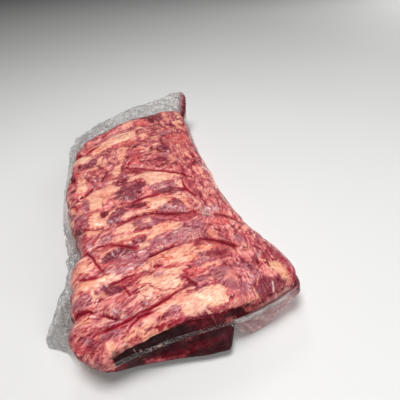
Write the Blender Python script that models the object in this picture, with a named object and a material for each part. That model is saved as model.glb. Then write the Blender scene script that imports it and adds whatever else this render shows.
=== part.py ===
"""A whole boneless sirloin of beef, rib side up, in a clear vacuum bag. Metres, +Z up.

The origin lies on the table under the middle of the pack. +Y runs along the slab, away from its squarely
cut end, and +X to the right. The bag clings to the slab, so the slab's solid is its outer form, and the
loose welded margin that stands out round it at seam height is a solid of its own.
"""

import bpy
import numpy as np

# The slab seen from above at its widest: pairs of (place along the edge, place across it).
LEFT_EDGE = (
    (-0.261, -0.104), (-0.238, -0.105), (-0.216, -0.106), (-0.189, -0.103), (-0.161, -0.1045),
    (-0.147, -0.1022), (-0.128, -0.0983), (-0.110, -0.0978), (-0.088, -0.101), (-0.060, -0.1055),
    (-0.016, -0.1115), (0.0125, -0.1135), (0.055, -0.1085), (0.124, -0.101), (0.151, -0.0965),
    (0.189, -0.0915),
)
RIGHT_EDGE = (
    (-0.2475, 0.1385), (-0.227, 0.1392), (-0.212, 0.1383), (-0.195, 0.1354), (-0.176, 0.1296),
    (-0.155, 0.123), (-0.133, 0.118), (-0.110, 0.1146), (-0.086, 0.1123), (-0.060, 0.1108),
    (-0.030, 0.1118), (0.000, 0.1135), (0.043, 0.1130), (0.100, 0.1158), (0.148, 0.1202),
    (0.186, 0.124), (0.270, 0.1265),
)
NEAR_EDGE = (
    (-0.108, -0.2575), (-0.076, -0.2605), (-0.050, -0.257), (0.000, -0.253), (0.054, -0.253),
    (0.090, -0.2485), (0.135, -0.236),
)
FAR_EDGE = (
    (-0.1035, 0.1655), (-0.072, 0.191), (-0.0405, 0.2115), (-0.0045, 0.2375), (0.027, 0.250),
    (0.0585, 0.254), (0.090, 0.261), (0.126, 0.258),
)
NEAR_LEFT_CORNER = 0.034
NEAR_RIGHT_CORNER = 0.013
FAR_LEFT_CORNER = 0.016
FAR_RIGHT_CORNER = 0.017
WIDTH = 0.241
LEFTMOST = -0.107
FARTHEST = 0.252

# Heights, and how far in from the edge each shoulder starts.
TOP_HEIGHT = 0.060
CROWN = 0.0036
RIDGE_HEIGHT = 0.0054
RIDGE_PLACE = -0.236
RIDGE_WIDTH = 0.0305
FAR_FALL = 0.009
CORNER_FALL = 0.018
LUMP_CORNER = (-0.1125, -0.263)
CORNER_FALL_REACH = 0.054
WAIST_HEIGHT = 0.0415
NEAR_WAIST = (
    (-0.108, 0.0395), (-0.072, 0.0425), (-0.027, 0.054), (0.027, 0.0585), (0.081, 0.0565), (0.1305, 0.045),
)
SEAM_HEIGHT = 0.034
SIDE_SHOULDER = 0.020
NEAR_SHOULDER = 0.011
FAR_SHOULDER = 0.018
SHOULDER_STEPS = 5
FOOT_INSET = 0.0125
FOOT_HEIGHT = 0.0235

# The squarely cut end: hollow under the ridge, with a lobe of lean swelling out below the seam.
END_HOLLOW = 0.0072
END_HOLLOW_HEIGHT = 0.0425
END_HOLLOW_REACH = 0.0072
LOBE_SWELL = 0.0185
LOBE_HEIGHT = 0.010
LOBE_REACH = 0.0135
LOBE_LEFT = -0.075
LOBE_FULLEST = 0.044
LOBE_RIGHT = 0.066
UNDERCUT = 0.011
CORNER_TUCK = 0.011
CORNER_TUCK_REACH = 0.042
UNDERCUT_FULL_BELOW = 0.007

# Furrows between the rib fingers: depth, half width, and the points that each runs through.
FURROWS = (
    (0.0045, 0.0063, ((-0.0845, -0.244), (-0.0385, -0.232), (0.011, -0.218), (0.0605, -0.2005))),
    (0.0062, 0.0072, ((-0.1045, -0.2115), (-0.081, -0.217), (-0.0575, -0.2305))),
    (0.004, 0.0081, ((-0.0745, -0.1935), (-0.0475, -0.1845), (-0.016, -0.181))),
    (0.0033, 0.0054, ((-0.108, -0.1735), (-0.0685, -0.171))),
    (0.005, 0.0063, ((-0.0235, -0.164), (0.0155, -0.155), (0.0485, -0.153), (0.092, -0.1845))),
    (0.005, 0.0072, (
        (-0.1045, -0.109), (-0.0865, -0.1305), (-0.0665, -0.125), (-0.0395, -0.133), (-0.0215, -0.144),
    )),
    (0.0057, 0.0063, (
        (-0.108, -0.0855), (-0.056, -0.0965), (0.0018, -0.0875), (0.065, -0.109), (0.108, -0.136),
    )),
    (0.0045, 0.0072, (
        (-0.052, -0.0605), (-0.018, -0.055), (0.020, -0.044), (0.061, -0.045), (0.074, -0.064),
    )),
    (0.005, 0.0063, ((-0.1115, -0.019), (-0.090, -0.0225), (-0.070, -0.0045), (-0.045, 0.0009))),
    (0.005, 0.0072, (
        (-0.025, 0.0385), (0.0063, 0.0295), (0.038, 0.0115), (0.0665, -0.010), (0.083, -0.026),
    )),
    (0.004, 0.0072, ((-0.108, 0.0335), (-0.079, 0.0385), (-0.056, 0.019))),
    (0.004, 0.0081, (
        (-0.1045, 0.0675), (-0.063, 0.073), (-0.025, 0.0695), (0.0125, 0.0855), (0.038, 0.091),
    )),
    (0.0045, 0.0072, ((-0.099, 0.1105), (-0.0485, 0.1125), (-0.0072, 0.1305), (0.029, 0.134))),
    (0.004, 0.0081, ((-0.0935, 0.1505), (-0.045, 0.1645), (-0.0036, 0.197), (0.038, 0.2045))),
    (0.0033, 0.0072, ((0.056, 0.235), (0.052, 0.1765), (0.047, 0.136))),
)
FURROW_FADE = (0.011, 0.036)
COURSE_POINTS = 40

# The grid that the slab's top is drawn on.
COLUMN_STEPS = 21
ROW_STEPS = 50
WALL_STEPS_ABOVE_SEAM = 2
WALL_STEPS_BELOW_SEAM = 5

# The loose margin of the bag, round the slab from its far left corner by way of the near end: the place on
# the way round (0 to 1 left side, 1 to 2 near end, 2 to 3 right side, 3 to 4 far end), how far it stands
# out there, and the height of its rim.
MARGIN = (
    (0.00, 0.0125, 0.052), (0.03, 0.0102, 0.052), (0.12, 0.0085, 0.043), (0.22, 0.0065, 0.042),
    (0.29, 0.007, 0.0385), (0.353, 0.0045, 0.0375), (0.425, 0.0063, 0.037), (0.50, 0.009, 0.0365),
    (0.577, 0.0105, 0.036), (0.625, 0.011, 0.0355), (0.667, 0.0132, 0.035), (0.707, 0.0125, 0.031),
    (0.745, 0.0145, 0.0235), (0.775, 0.021, 0.016), (0.80, 0.0265, 0.010), (0.82, 0.031, 0.007),
    (0.847, 0.0355, 0.003), (0.874, 0.037, 0.0018), (0.892, 0.033, 0.0018), (0.905, 0.018, 0.0025),
    (0.92, 0.009, 0.010), (0.94, 0.0045, 0.027), (0.96, 0.0035, 0.032), (1.23, 0.0035, 0.0325),
    (1.634, 0.0035, 0.0325), (1.68, 0.0055, 0.020), (1.73, 0.0055, 0.0018), (1.90, 0.0055, 0.0018),
    (1.96, 0.006, 0.0018), (1.995, 0.008, 0.011), (2.015, 0.0065, 0.026), (2.035, 0.0045, 0.0335),
    (2.07, 0.0035, 0.034), (2.38, 0.0035, 0.034), (2.88, 0.0035, 0.0395), (2.95, 0.009, 0.056),
    (2.98, 0.0145, 0.070), (3.00, 0.018, 0.0825), (3.03, 0.014, 0.083), (3.07, 0.0105, 0.080),
    (3.12, 0.008, 0.0755), (3.38, 0.009, 0.0695), (3.565, 0.008, 0.0665), (3.73, 0.0125, 0.065),
    (3.84, 0.0125, 0.062), (3.96, 0.0125, 0.0585), (4.00, 0.0125, 0.052),
)
MARGIN_GAP = 0.0004
MARGIN_THICKNESS = 0.0022
RIM_THICKNESS = 0.0013
MARGIN_STEPS = (0.0, 0.2, 0.55, 1.0)
RIM_LOWEST = 0.0018
CRINKLE = 0.0014
CRINKLES_ROUND = 37
CRINKLED_FROM = (0.0055, 0.0125)


def smooth_curve(points, at):
    """The cubic curve through pairs of (place, value), without overshoot, read at each place in at."""
    places, values = np.array(points, float).T
    rises = np.diff(values) / np.diff(places)
    slopes = np.zeros(len(places))
    slopes[[0, -1]] = rises[[0, -1]]
    same_way = np.flatnonzero(rises[:-1] * rises[1:] > 0)
    slopes[same_way + 1] = 2 / (1 / rises[same_way] + 1 / rises[same_way + 1])
    at = np.clip(at, places[0], places[-1])
    piece = np.clip(np.searchsorted(places, at) - 1, 0, len(places) - 2)
    span = places[piece + 1] - places[piece]
    u = (at - places[piece]) / span
    start = (1 + 2 * u) * (1 - u) ** 2 * values[piece] + u * (1 - u) ** 2 * span * slopes[piece]
    return start + u * u * (3 - 2 * u) * values[piece + 1] - u * u * (1 - u) * span * slopes[piece + 1]


def smooth_step(low, high, value):
    u = np.clip((value - low) / (high - low), 0, 1)
    return u * u * (3 - 2 * u)


def bump(value, middle, reach):
    return np.exp(-(((value - middle) / reach) ** 2))


def grid_lines(steps, first_shoulder, last_shoulder):
    """Each grid line as (share of the way across, step in from it), close together on the shoulders."""
    turn = np.linspace(0, np.pi / 2, SHOULDER_STEPS + 1)[:-1]
    inset = 1 - np.cos(turn)
    share = np.linspace(0, 1, steps + 1)
    first = np.stack([np.zeros_like(inset), inset * first_shoulder], 1)
    middle = np.stack([share, first_shoulder * (1 - share) - last_shoulder * share], 1)
    last = np.stack([np.ones_like(inset), -inset * last_shoulder], 1)[::-1]
    return np.concatenate([first, middle, last])


def round_corner(across, along, radius):
    """Two distances from a corner's edges, moved so that the corner becomes an arc."""
    p = np.clip(1 - across / radius, 0, None)
    q = np.clip(1 - along / radius, 0, None)
    turned = (p > 0) & (q > 0)
    pull = np.maximum(p, q) / np.hypot(p, np.where(turned, q, 1))
    across = np.where(turned, radius * (1 - p * pull), across)
    along = np.where(turned, radius * (1 - q * pull), along)
    return across, along


def shoulder_drop(inset, shoulder):
    """The share of the way from the top down to the waist at this distance in from the edge."""
    return 1 - np.sqrt(1 - np.clip(1 - inset / shoulder, 0, 1) ** 2)


def top_grid():
    """The top of the slab down to its waist: rows of points from the near end, each from the left."""
    rows = grid_lines(ROW_STEPS, NEAR_SHOULDER, FAR_SHOULDER)
    columns = grid_lines(COLUMN_STEPS, SIDE_SHOULDER, SIDE_SHOULDER)
    along, step_along = rows[:, None, 0], rows[:, None, 1]
    across, step_across = columns[None, :, 0], columns[None, :, 1]
    rough_x = LEFTMOST + WIDTH * across + step_across
    near = smooth_curve(NEAR_EDGE, rough_x)
    far = smooth_curve(FAR_EDGE, rough_x)
    y = near * (1 - along) + far * along + step_along
    left = smooth_curve(LEFT_EDGE, y)
    right = smooth_curve(RIGHT_EDGE, y)
    x = left * (1 - across) + right * across + step_across
    from_left, from_right, from_near, from_far = x - left, right - x, y - near, far - y

    height = top_height(x, y)
    near_waist = smooth_curve(NEAR_WAIST, x)
    drops = (
        (shoulder_drop(from_left, SIDE_SHOULDER), WAIST_HEIGHT),
        (shoulder_drop(from_right, SIDE_SHOULDER), WAIST_HEIGHT),
        (shoulder_drop(from_near, NEAR_SHOULDER), near_waist),
        (shoulder_drop(from_far, FAR_SHOULDER), WAIST_HEIGHT),
    )
    z = np.min([height + (waist - height) * drop for drop, waist in drops], axis=0)

    from_left, from_near = round_corner(from_left, from_near, NEAR_LEFT_CORNER)
    from_right, from_near = round_corner(from_right, from_near, NEAR_RIGHT_CORNER)
    from_left, from_far = round_corner(from_left, from_far, FAR_LEFT_CORNER)
    from_right, from_far = round_corner(from_right, from_far, FAR_RIGHT_CORNER)
    x = np.where(across < 0.5, left + from_left, right - from_right)
    y = np.where(along < 0.5, near + from_near, far - from_far)
    return np.stack([x, y, z], -1)


def top_height(x, y):
    """The height of the slab's top, rising to the ridge and falling to the near left corner and far end."""
    crown = CROWN * (1 - (2 * x / WIDTH) ** 2)
    ridge = RIDGE_HEIGHT * bump(y, RIDGE_PLACE, RIDGE_WIDTH)
    from_corner = np.hypot(x - LUMP_CORNER[0], y - LUMP_CORNER[1])
    corner_fall = CORNER_FALL * bump(from_corner, 0, CORNER_FALL_REACH)
    far_fall = FAR_FALL * np.clip(y / FARTHEST, 0, 1)
    return TOP_HEIGHT + crown + ridge - corner_fall - far_fall


def rim_of(grid):
    """The grid's outermost points, from the far left corner down the left side and on round."""
    left = grid[::-1, 0]
    near = grid[0, :]
    right = grid[:, -1]
    far = grid[-1, ::-1]
    return np.concatenate([left[:-1], near[:-1], right[:-1], far[:-1]])


def way_round(grid):
    """How far round each point of the rim is: 0 to 1 on the left side, 1 to 2 at the near end, and on."""
    places = []
    for side, line in enumerate((grid[::-1, 0], grid[0], grid[:, -1], grid[-1, ::-1])):
        steps = np.linalg.norm(np.diff(line[:, :2], axis=0), axis=1)
        places.append(side + np.concatenate([[0], np.cumsum(steps)[:-1]]) / steps.sum())
    return np.concatenate(places)


def outward(rim):
    """The direction that points level and outwards at each point of the rim."""
    ahead = np.roll(rim, -1, 0) - np.roll(rim, 1, 0)
    normal = np.stack([ahead[:, 1], -ahead[:, 0]], 1)
    normal = np.roll(normal, 1, 0) + 2 * normal + np.roll(normal, -1, 0)
    return normal / np.linalg.norm(normal, axis=1)[:, None]


def wall_offset(rim, normal, z):
    """How far the wall stands out from the rim at height z, less than nothing where it is drawn in."""
    foot = FOOT_INSET * (1 - np.sqrt(1 - np.clip(1 - z / FOOT_HEIGHT, 0, 1) ** 2))
    facing = np.clip(-normal[:, 1], 0, 1) ** 3
    x = rim[:, 0]
    hollow = END_HOLLOW * bump(z, END_HOLLOW_HEIGHT, END_HOLLOW_REACH)
    beyond_lobe = smooth_step(LOBE_FULLEST, LOBE_RIGHT, x)
    across_lobe = smooth_step(LOBE_LEFT, LOBE_FULLEST, x) * (1 - beyond_lobe)
    lobe = LOBE_SWELL * bump(z, LOBE_HEIGHT, LOBE_REACH) * across_lobe
    lowness = smooth_step(SEAM_HEIGHT, UNDERCUT_FULL_BELOW, z)
    undercut = UNDERCUT * beyond_lobe * lowness
    from_corner = np.hypot(x - LUMP_CORNER[0], rim[:, 1] - LUMP_CORNER[1])
    tuck = CORNER_TUCK * bump(from_corner, 0, CORNER_TUCK_REACH) * lowness
    return facing * (lobe - hollow - undercut) - foot - tuck


def wall_rings(rim, normal):
    """The wall under the rim as rings of points: one of them at seam height, and the last on the table."""
    above = np.linspace(0, 1, WALL_STEPS_ABOVE_SEAM + 1)[1:]
    below = 1 - np.sin(np.linspace(0, np.pi / 2, WALL_STEPS_BELOW_SEAM + 1)[1:])
    heights = [rim[:, 2] + (SEAM_HEIGHT - rim[:, 2]) * share for share in above]
    heights += [np.full(len(rim), SEAM_HEIGHT * share) for share in below]
    return [
        np.column_stack([rim[:, :2] + normal * wall_offset(rim, normal, z)[:, None], z])
        for z in heights
    ]


def furrow_depth(points):
    """How deep the furrows cut the surface at each of these points."""
    depth = np.zeros(len(points))
    for furrow, half_width, stops in FURROWS:
        line = np.array(stops)
        along = np.concatenate([[0], np.cumsum(np.linalg.norm(np.diff(line, axis=0), axis=1))])
        fine = np.linspace(0, along[-1], COURSE_POINTS)
        course = np.stack([smooth_curve(np.column_stack([along, line[:, k]]), fine) for k in (0, 1)], 1)
        distance = np.linalg.norm(points[:, None, :2] - course[None], axis=2).min(1)
        depth = np.maximum(depth, furrow * bump(distance, 0, half_width))
    return depth * smooth_step(*FURROW_FADE, points[:, 2])


def new_material(name, color, roughness, alpha=1.0):
    material = bpy.data.materials.new(name)
    material.use_nodes = True
    shader = material.node_tree.nodes["Principled BSDF"]
    shader.inputs["Base Color"].default_value = (*color, 1)
    shader.inputs["Roughness"].default_value = roughness
    shader.inputs["Metallic"].default_value = 0
    shader.inputs["Alpha"].default_value = alpha
    return material


def new_object(name, points, faces, material):
    mesh = bpy.data.meshes.new(name)
    mesh.from_pydata([tuple(point) for point in points], [], faces)
    mesh.materials.append(material)
    mesh.shade_smooth()
    piece = bpy.data.objects.new(name, mesh)
    bpy.context.scene.collection.objects.link(piece)
    return piece


def vertex_normals(mesh):
    normals = np.empty(len(mesh.vertices) * 3, np.float32)
    mesh.vertex_normals.foreach_get("vector", normals)
    return normals.reshape(-1, 3)


def build_sirloin(grid, rings, material):
    """The slab: its gridded top, the rings of its wall, and a flat underside."""
    rows, columns = grid.shape[:2]
    index = np.arange(rows * columns).reshape(rows, columns)
    faces = [
        (index[r, c], index[r, c + 1], index[r + 1, c + 1], index[r + 1, c])
        for r in range(rows - 1)
        for c in range(columns - 1)
    ]
    upper = rim_of(index[..., None])[:, 0]
    start = rows * columns
    for ring in rings:
        lower = np.arange(start, start + len(ring))
        faces += [
            (upper[k], lower[k], lower[(k + 1) % len(ring)], upper[(k + 1) % len(ring)])
            for k in range(len(ring))
        ]
        upper = lower
        start += len(ring)
    faces.append(tuple(upper[::-1]))
    faces = [tuple(int(corner) for corner in face) for face in faces]
    piece = new_object("sirloin", np.concatenate([grid.reshape(-1, 3), *rings]), faces, material)
    cut_furrows(piece.data)
    return piece


def cut_furrows(mesh):
    points = np.empty(len(mesh.vertices) * 3, np.float32)
    mesh.vertices.foreach_get("co", points)
    points = points.reshape(-1, 3)
    points -= vertex_normals(mesh) * furrow_depth(points)[:, None]
    mesh.vertices.foreach_set("co", points.ravel())
    mesh.update()


def build_margin(seam, normal, place, material):
    """The bag's loose margin: a thin ring from the seam out to the rim that MARGIN gives."""
    reach = smooth_curve([(p, w) for p, w, _ in MARGIN], place)
    rise = smooth_curve([(p, h) for p, _, h in MARGIN], place)
    loose = smooth_step(*CRINKLED_FROM, reach)
    crinkle = CRINKLE * loose * np.sin(2 * np.pi * CRINKLES_ROUND * place / 4 + 2 * np.sin(9 * place))
    reach = reach + crinkle
    rise = np.maximum(rise + crinkle, RIM_LOWEST)
    layers = []
    for share in MARGIN_STEPS:
        plan = seam[:, :2] + normal * (MARGIN_GAP + reach * share)[:, None]
        bend = np.where(rise < SEAM_HEIGHT, share ** 2, share ** 1.3)
        middle = SEAM_HEIGHT + (rise - SEAM_HEIGHT) * bend
        thickness = MARGIN_THICKNESS + (RIM_THICKNESS - MARGIN_THICKNESS) * share
        half = 0 if share == 0 else thickness / 2
        layers.append((np.column_stack([plan, middle + half]), np.column_stack([plan, middle - half])))
    section = [upper for upper, _ in layers] + [lower for _, lower in layers[:0:-1]]
    count = len(seam)
    faces = [
        (a * count + k, b * count + k, b * count + (k + 1) % count, a * count + (k + 1) % count)
        for a, b in zip(range(len(section)), [*range(1, len(section)), 0])
        for k in range(count)
    ]
    return new_object("vacuum_bag", np.concatenate(section), faces, material)


def main():
    for old in list(bpy.data.objects):
        bpy.data.objects.remove(old)
    meat = new_material("raw_beef", (0.42, 0.10, 0.09), 0.35)
    film = new_material("clear_film", (0.80, 0.78, 0.76), 0.15, alpha=0.35)
    grid = top_grid()
    rim = rim_of(grid)
    normal = outward(rim)
    rings = wall_rings(rim, normal)
    build_sirloin(grid, rings, meat)
    build_margin(rings[WALL_STEPS_ABOVE_SEAM - 1], normal, way_round(grid), film)


main()
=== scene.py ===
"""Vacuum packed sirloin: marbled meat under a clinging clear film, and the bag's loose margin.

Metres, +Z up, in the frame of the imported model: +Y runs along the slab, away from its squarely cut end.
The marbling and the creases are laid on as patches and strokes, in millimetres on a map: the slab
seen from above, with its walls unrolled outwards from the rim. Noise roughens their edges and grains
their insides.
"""

import bpy
import numpy as np
from mathutils import Matrix


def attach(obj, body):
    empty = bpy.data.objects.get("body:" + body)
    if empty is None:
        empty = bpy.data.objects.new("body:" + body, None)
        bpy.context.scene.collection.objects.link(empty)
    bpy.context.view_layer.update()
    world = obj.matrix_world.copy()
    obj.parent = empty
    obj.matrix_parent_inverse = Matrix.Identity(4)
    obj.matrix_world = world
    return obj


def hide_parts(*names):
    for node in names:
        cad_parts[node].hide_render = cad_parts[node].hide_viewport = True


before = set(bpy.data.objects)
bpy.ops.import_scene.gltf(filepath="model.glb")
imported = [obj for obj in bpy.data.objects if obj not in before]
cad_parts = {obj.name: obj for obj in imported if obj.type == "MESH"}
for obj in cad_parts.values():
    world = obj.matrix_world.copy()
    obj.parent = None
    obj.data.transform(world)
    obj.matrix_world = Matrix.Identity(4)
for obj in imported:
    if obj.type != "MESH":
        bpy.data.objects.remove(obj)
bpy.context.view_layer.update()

MM = 0.001

# The slab's outer form, as in the solid: pairs of (place along the edge, place across it).
LEFT_EDGE = (
    (-0.261, -0.104), (-0.238, -0.105), (-0.216, -0.106), (-0.189, -0.103), (-0.161, -0.1045),
    (-0.147, -0.1022), (-0.128, -0.0983), (-0.110, -0.0978), (-0.088, -0.101), (-0.060, -0.1055),
    (-0.016, -0.1115), (0.0125, -0.1135), (0.055, -0.1085), (0.124, -0.101), (0.151, -0.0965),
    (0.189, -0.0915),
)
RIGHT_EDGE = (
    (-0.2475, 0.1385), (-0.227, 0.1392), (-0.212, 0.1383), (-0.195, 0.1354), (-0.176, 0.1296),
    (-0.155, 0.123), (-0.133, 0.118), (-0.110, 0.1146), (-0.086, 0.1123), (-0.060, 0.1108),
    (-0.030, 0.1118), (0.000, 0.1135), (0.043, 0.1130), (0.100, 0.1158), (0.148, 0.1202),
    (0.186, 0.124), (0.270, 0.1265),
)
NEAR_EDGE = (
    (-0.108, -0.2575), (-0.076, -0.2605), (-0.050, -0.257), (0.000, -0.253), (0.054, -0.253),
    (0.090, -0.2485), (0.135, -0.236),
)
FAR_EDGE = (
    (-0.1035, 0.1655), (-0.072, 0.191), (-0.0405, 0.2115), (-0.0045, 0.2375), (0.027, 0.250),
    (0.0585, 0.254), (0.090, 0.261), (0.126, 0.258),
)
# The radii of its corners, seen from above.
NEAR_LEFT_CORNER = 0.034
NEAR_RIGHT_CORNER = 0.013
FAR_LEFT_CORNER = 0.016
FAR_RIGHT_CORNER = 0.017
# Its top: how high it lies, how it is crowned across, its ridge beside the cut end, and how it falls to
# the far end and round the near left corner.
WIDTH = 0.241
LEFTMOST = -0.107
FARTHEST = 0.252
TOP_HEIGHT = 0.060
CROWN = 0.0036
RIDGE_HEIGHT = 0.0054
RIDGE_PLACE = -0.236
RIDGE_WIDTH = 0.0305
FAR_FALL = 0.009
CORNER_FALL = 0.018
LUMP_CORNER = (-0.1125, -0.263)
CORNER_FALL_REACH = 0.054
# Its waist, where the shoulders end and the walls begin: its height, and that at the near end.
WAIST_HEIGHT = 0.0415
NEAR_WAIST = (
    (-0.108, 0.0395), (-0.072, 0.0425), (-0.027, 0.054), (0.027, 0.0585), (0.081, 0.0565), (0.1305, 0.045),
)
# Its walls: the height of the bag's seam on them, how far in the shoulders and the foot are rounded, the
# hollow and the lobe of the near end, and where that end is cut under and tucked in.
SEAM_HEIGHT = 0.034
SIDE_SHOULDER = 0.020
NEAR_SHOULDER = 0.011
FAR_SHOULDER = 0.018
FOOT_INSET = 0.0125
FOOT_HEIGHT = 0.0235
END_HOLLOW = 0.0072
END_HOLLOW_HEIGHT = 0.0425
END_HOLLOW_REACH = 0.0072
LOBE_SWELL = 0.0185
LOBE_HEIGHT = 0.010
LOBE_REACH = 0.0135
LOBE_LEFT = -0.075
LOBE_FULLEST = 0.044
LOBE_RIGHT = 0.066
UNDERCUT = 0.011
UNDERCUT_FULL_BELOW = 0.007
CORNER_TUCK = 0.011
CORNER_TUCK_REACH = 0.042

# The fine grid: its lines lie closer together on the shoulders and towards the near end.
COLUMN_STEPS = 203
ROW_STEPS = 250
SIDE_SHOULDER_STEPS = 13
END_SHOULDER_STEPS = 12
ROW_GROWTH = 1.15
UPPER_RINGS = 8
LOWER_RINGS = 18
UNDERSIDE_SHARES = (0.97, 0.88, 0.7, 0.5, 0.28, 0.1)

# The bag's loose margin: place on the way round, how far it stands out, height of its rim. It is as in the
# solid, apart from the curtain at the right of the near end, whose lower edge rises to the right here.
MARGIN = (
    (0.00, 0.0125, 0.052), (0.03, 0.0102, 0.052), (0.12, 0.0085, 0.043), (0.22, 0.0065, 0.042),
    (0.29, 0.007, 0.0385), (0.353, 0.0045, 0.0375), (0.425, 0.0063, 0.037), (0.50, 0.009, 0.0365),
    (0.577, 0.0105, 0.036), (0.625, 0.011, 0.0355), (0.667, 0.0132, 0.035), (0.707, 0.0125, 0.031),
    (0.745, 0.0145, 0.0235), (0.775, 0.021, 0.016), (0.80, 0.0265, 0.010), (0.82, 0.031, 0.007),
    (0.847, 0.0355, 0.003), (0.874, 0.037, 0.0018), (0.892, 0.033, 0.0018), (0.905, 0.018, 0.0025),
    (0.92, 0.009, 0.010), (0.94, 0.0045, 0.027), (0.96, 0.0035, 0.032), (1.23, 0.0035, 0.0325),
    (1.62, 0.0035, 0.0325), (1.65, 0.0055, 0.024), (1.69, 0.0055, 0.010), (1.73, 0.0055, 0.0018),
    (1.79, 0.0055, 0.0018), (1.84, 0.0055, 0.008), (1.89, 0.0055, 0.015), (1.93, 0.0058, 0.022),
    (1.96, 0.0065, 0.0255), (1.99, 0.0075, 0.0265), (2.015, 0.0060, 0.029), (2.04, 0.0045, 0.0335),
    (2.07, 0.0035, 0.034), (2.38, 0.0035, 0.034), (2.88, 0.0035, 0.0395), (2.95, 0.009, 0.056),
    (2.98, 0.0145, 0.070), (3.00, 0.018, 0.0825), (3.03, 0.014, 0.083), (3.07, 0.0105, 0.080),
    (3.12, 0.008, 0.0755), (3.38, 0.009, 0.0695), (3.565, 0.008, 0.0665), (3.73, 0.0125, 0.065),
    (3.84, 0.0125, 0.062), (3.96, 0.0125, 0.0585), (4.00, 0.0125, 0.052),
)
# The gap between the slab and the margin, its rows of points, and how low its rim may lie.
MARGIN_GAP = 0.0004
MARGIN_STEPS = 15
RIM_LOWEST = 0.0018
# How far out the margin stands where it begins to crumple, and where it crumples most.
LOOSE_FROM = (0.0045, 0.0125)

# Where on the way round the film is whitish and where juice has pooled: middle and reach.
WHITISH_CORNER = (0.85, 0.06)
BLOOD_POOLS = ((1.998, 0.026), (2.975, 0.02))
# The weld, a bright line painted white as a highlight: from and to, its soft ends, the shares of the
# margin's width it covers, how far its bead stands up, and the bead's middle and reach as such shares.
SEAL_FROM = 1.655
SEAL_TO = 1.985
SEAL_FADE = 0.02
SEAL_SHARES = (0.1, 0.3)
SEAL_STANDS = 0.0028
SEAL_BEAD = (0.23, 0.11)
# The curtain: where it sets in and where it ends, each over a stretch, and how far down it hangs in
# millimetres.
CURTAIN_FROM = (1.63, 1.69)
CURTAIN_TO = (2.06, 2.0)
CURTAIN_DROP = 32

# Broad furrows between the rib fingers, as in the solid: depth, half width and course in metres.
FURROWS = (
    (0.0045, 0.0063, ((-0.0845, -0.244), (-0.0385, -0.232), (0.011, -0.218), (0.0605, -0.2005))),
    (0.0062, 0.0072, ((-0.1045, -0.2115), (-0.081, -0.217), (-0.0575, -0.2305))),
    (0.004, 0.0081, ((-0.0745, -0.1935), (-0.0475, -0.1845), (-0.016, -0.181))),
    (0.0033, 0.0054, ((-0.108, -0.1735), (-0.0685, -0.171))),
    (0.005, 0.0063, ((-0.0235, -0.164), (0.0155, -0.155), (0.0485, -0.153), (0.092, -0.1845))),
    (0.005, 0.0072, (
        (-0.1045, -0.109), (-0.0865, -0.1305), (-0.0665, -0.125), (-0.0395, -0.133), (-0.0215, -0.144),
    )),
    (0.0057, 0.0063, (
        (-0.108, -0.0855), (-0.056, -0.0965), (0.0018, -0.0875), (0.065, -0.109), (0.108, -0.136),
    )),
    (0.0045, 0.0072, (
        (-0.052, -0.0605), (-0.018, -0.055), (0.020, -0.044), (0.061, -0.045), (0.074, -0.064),
    )),
    (0.005, 0.0063, ((-0.1115, -0.019), (-0.090, -0.0225), (-0.070, -0.0045), (-0.045, 0.0009))),
    (0.005, 0.0072, (
        (-0.025, 0.0385), (0.0063, 0.0295), (0.038, 0.0115), (0.0665, -0.010), (0.083, -0.026),
    )),
    (0.004, 0.0072, ((-0.108, 0.0335), (-0.079, 0.0385), (-0.056, 0.019))),
    (0.004, 0.0081, (
        (-0.1045, 0.0675), (-0.063, 0.073), (-0.025, 0.0695), (0.0125, 0.0855), (0.038, 0.091),
    )),
    (0.0045, 0.0072, ((-0.099, 0.1105), (-0.0485, 0.1125), (-0.0072, 0.1305), (0.029, 0.134))),
    (0.004, 0.0081, ((-0.0935, 0.1505), (-0.045, 0.1645), (-0.0036, 0.197), (0.038, 0.2045))),
    (0.0033, 0.0072, ((0.056, 0.235), (0.052, 0.1765), (0.047, 0.136))),
)
# The heights between which the furrows set in.
FURROW_FADE = (0.011, 0.036)


# --- small helpers --------------------------------------------------------------------------------------

def smooth_curve(points, at):
    """The cubic curve through pairs of (place, value), without overshoot, read at each place in at."""
    places, values = np.array(points, float).T
    rises = np.diff(values) / np.diff(places)
    slopes = np.zeros(len(places))
    slopes[[0, -1]] = rises[[0, -1]]
    same_way = np.flatnonzero(rises[:-1] * rises[1:] > 0)
    slopes[same_way + 1] = 2 / (1 / rises[same_way] + 1 / rises[same_way + 1])
    at = np.clip(at, places[0], places[-1])
    piece = np.clip(np.searchsorted(places, at) - 1, 0, len(places) - 2)
    span = places[piece + 1] - places[piece]
    u = (at - places[piece]) / span
    start = (1 + 2 * u) * (1 - u) ** 2 * values[piece] + u * (1 - u) ** 2 * span * slopes[piece]
    return start + u * u * (3 - 2 * u) * values[piece + 1] - u * u * (1 - u) * span * slopes[piece + 1]


def smooth_step(low, high, value):
    """0 up to low and 1 from high on, with an eased way between them. High may lie below low."""
    u = np.clip((value - low) / (high - low), 0, 1)
    return u * u * (3 - 2 * u)


def bump(value, middle, reach):
    """1 in the middle, falling off to both sides within about twice the reach."""
    return np.exp(-(((value - middle) / reach) ** 2))


def smooth_course(stops, count=40):
    """A smooth line through the stops, as evenly spaced points."""
    line = np.array(stops, float)
    along = np.concatenate([[0], np.cumsum(np.linalg.norm(np.diff(line, axis=0), axis=1))])
    fine = np.linspace(0, along[-1], count)
    return np.stack([smooth_curve(np.column_stack([along, line[:, k]]), fine) for k in (0, 1)], 1)


# The noise: the size of its table, and what brings it to about 1. A further layer is finer and weaker.
NOISE_CELLS = 256
NOISE_GAIN = 1.6
LAYER_FINER = 2.1
LAYER_WEAKER = 0.5
LAYERS_SUM = 1.5


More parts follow.
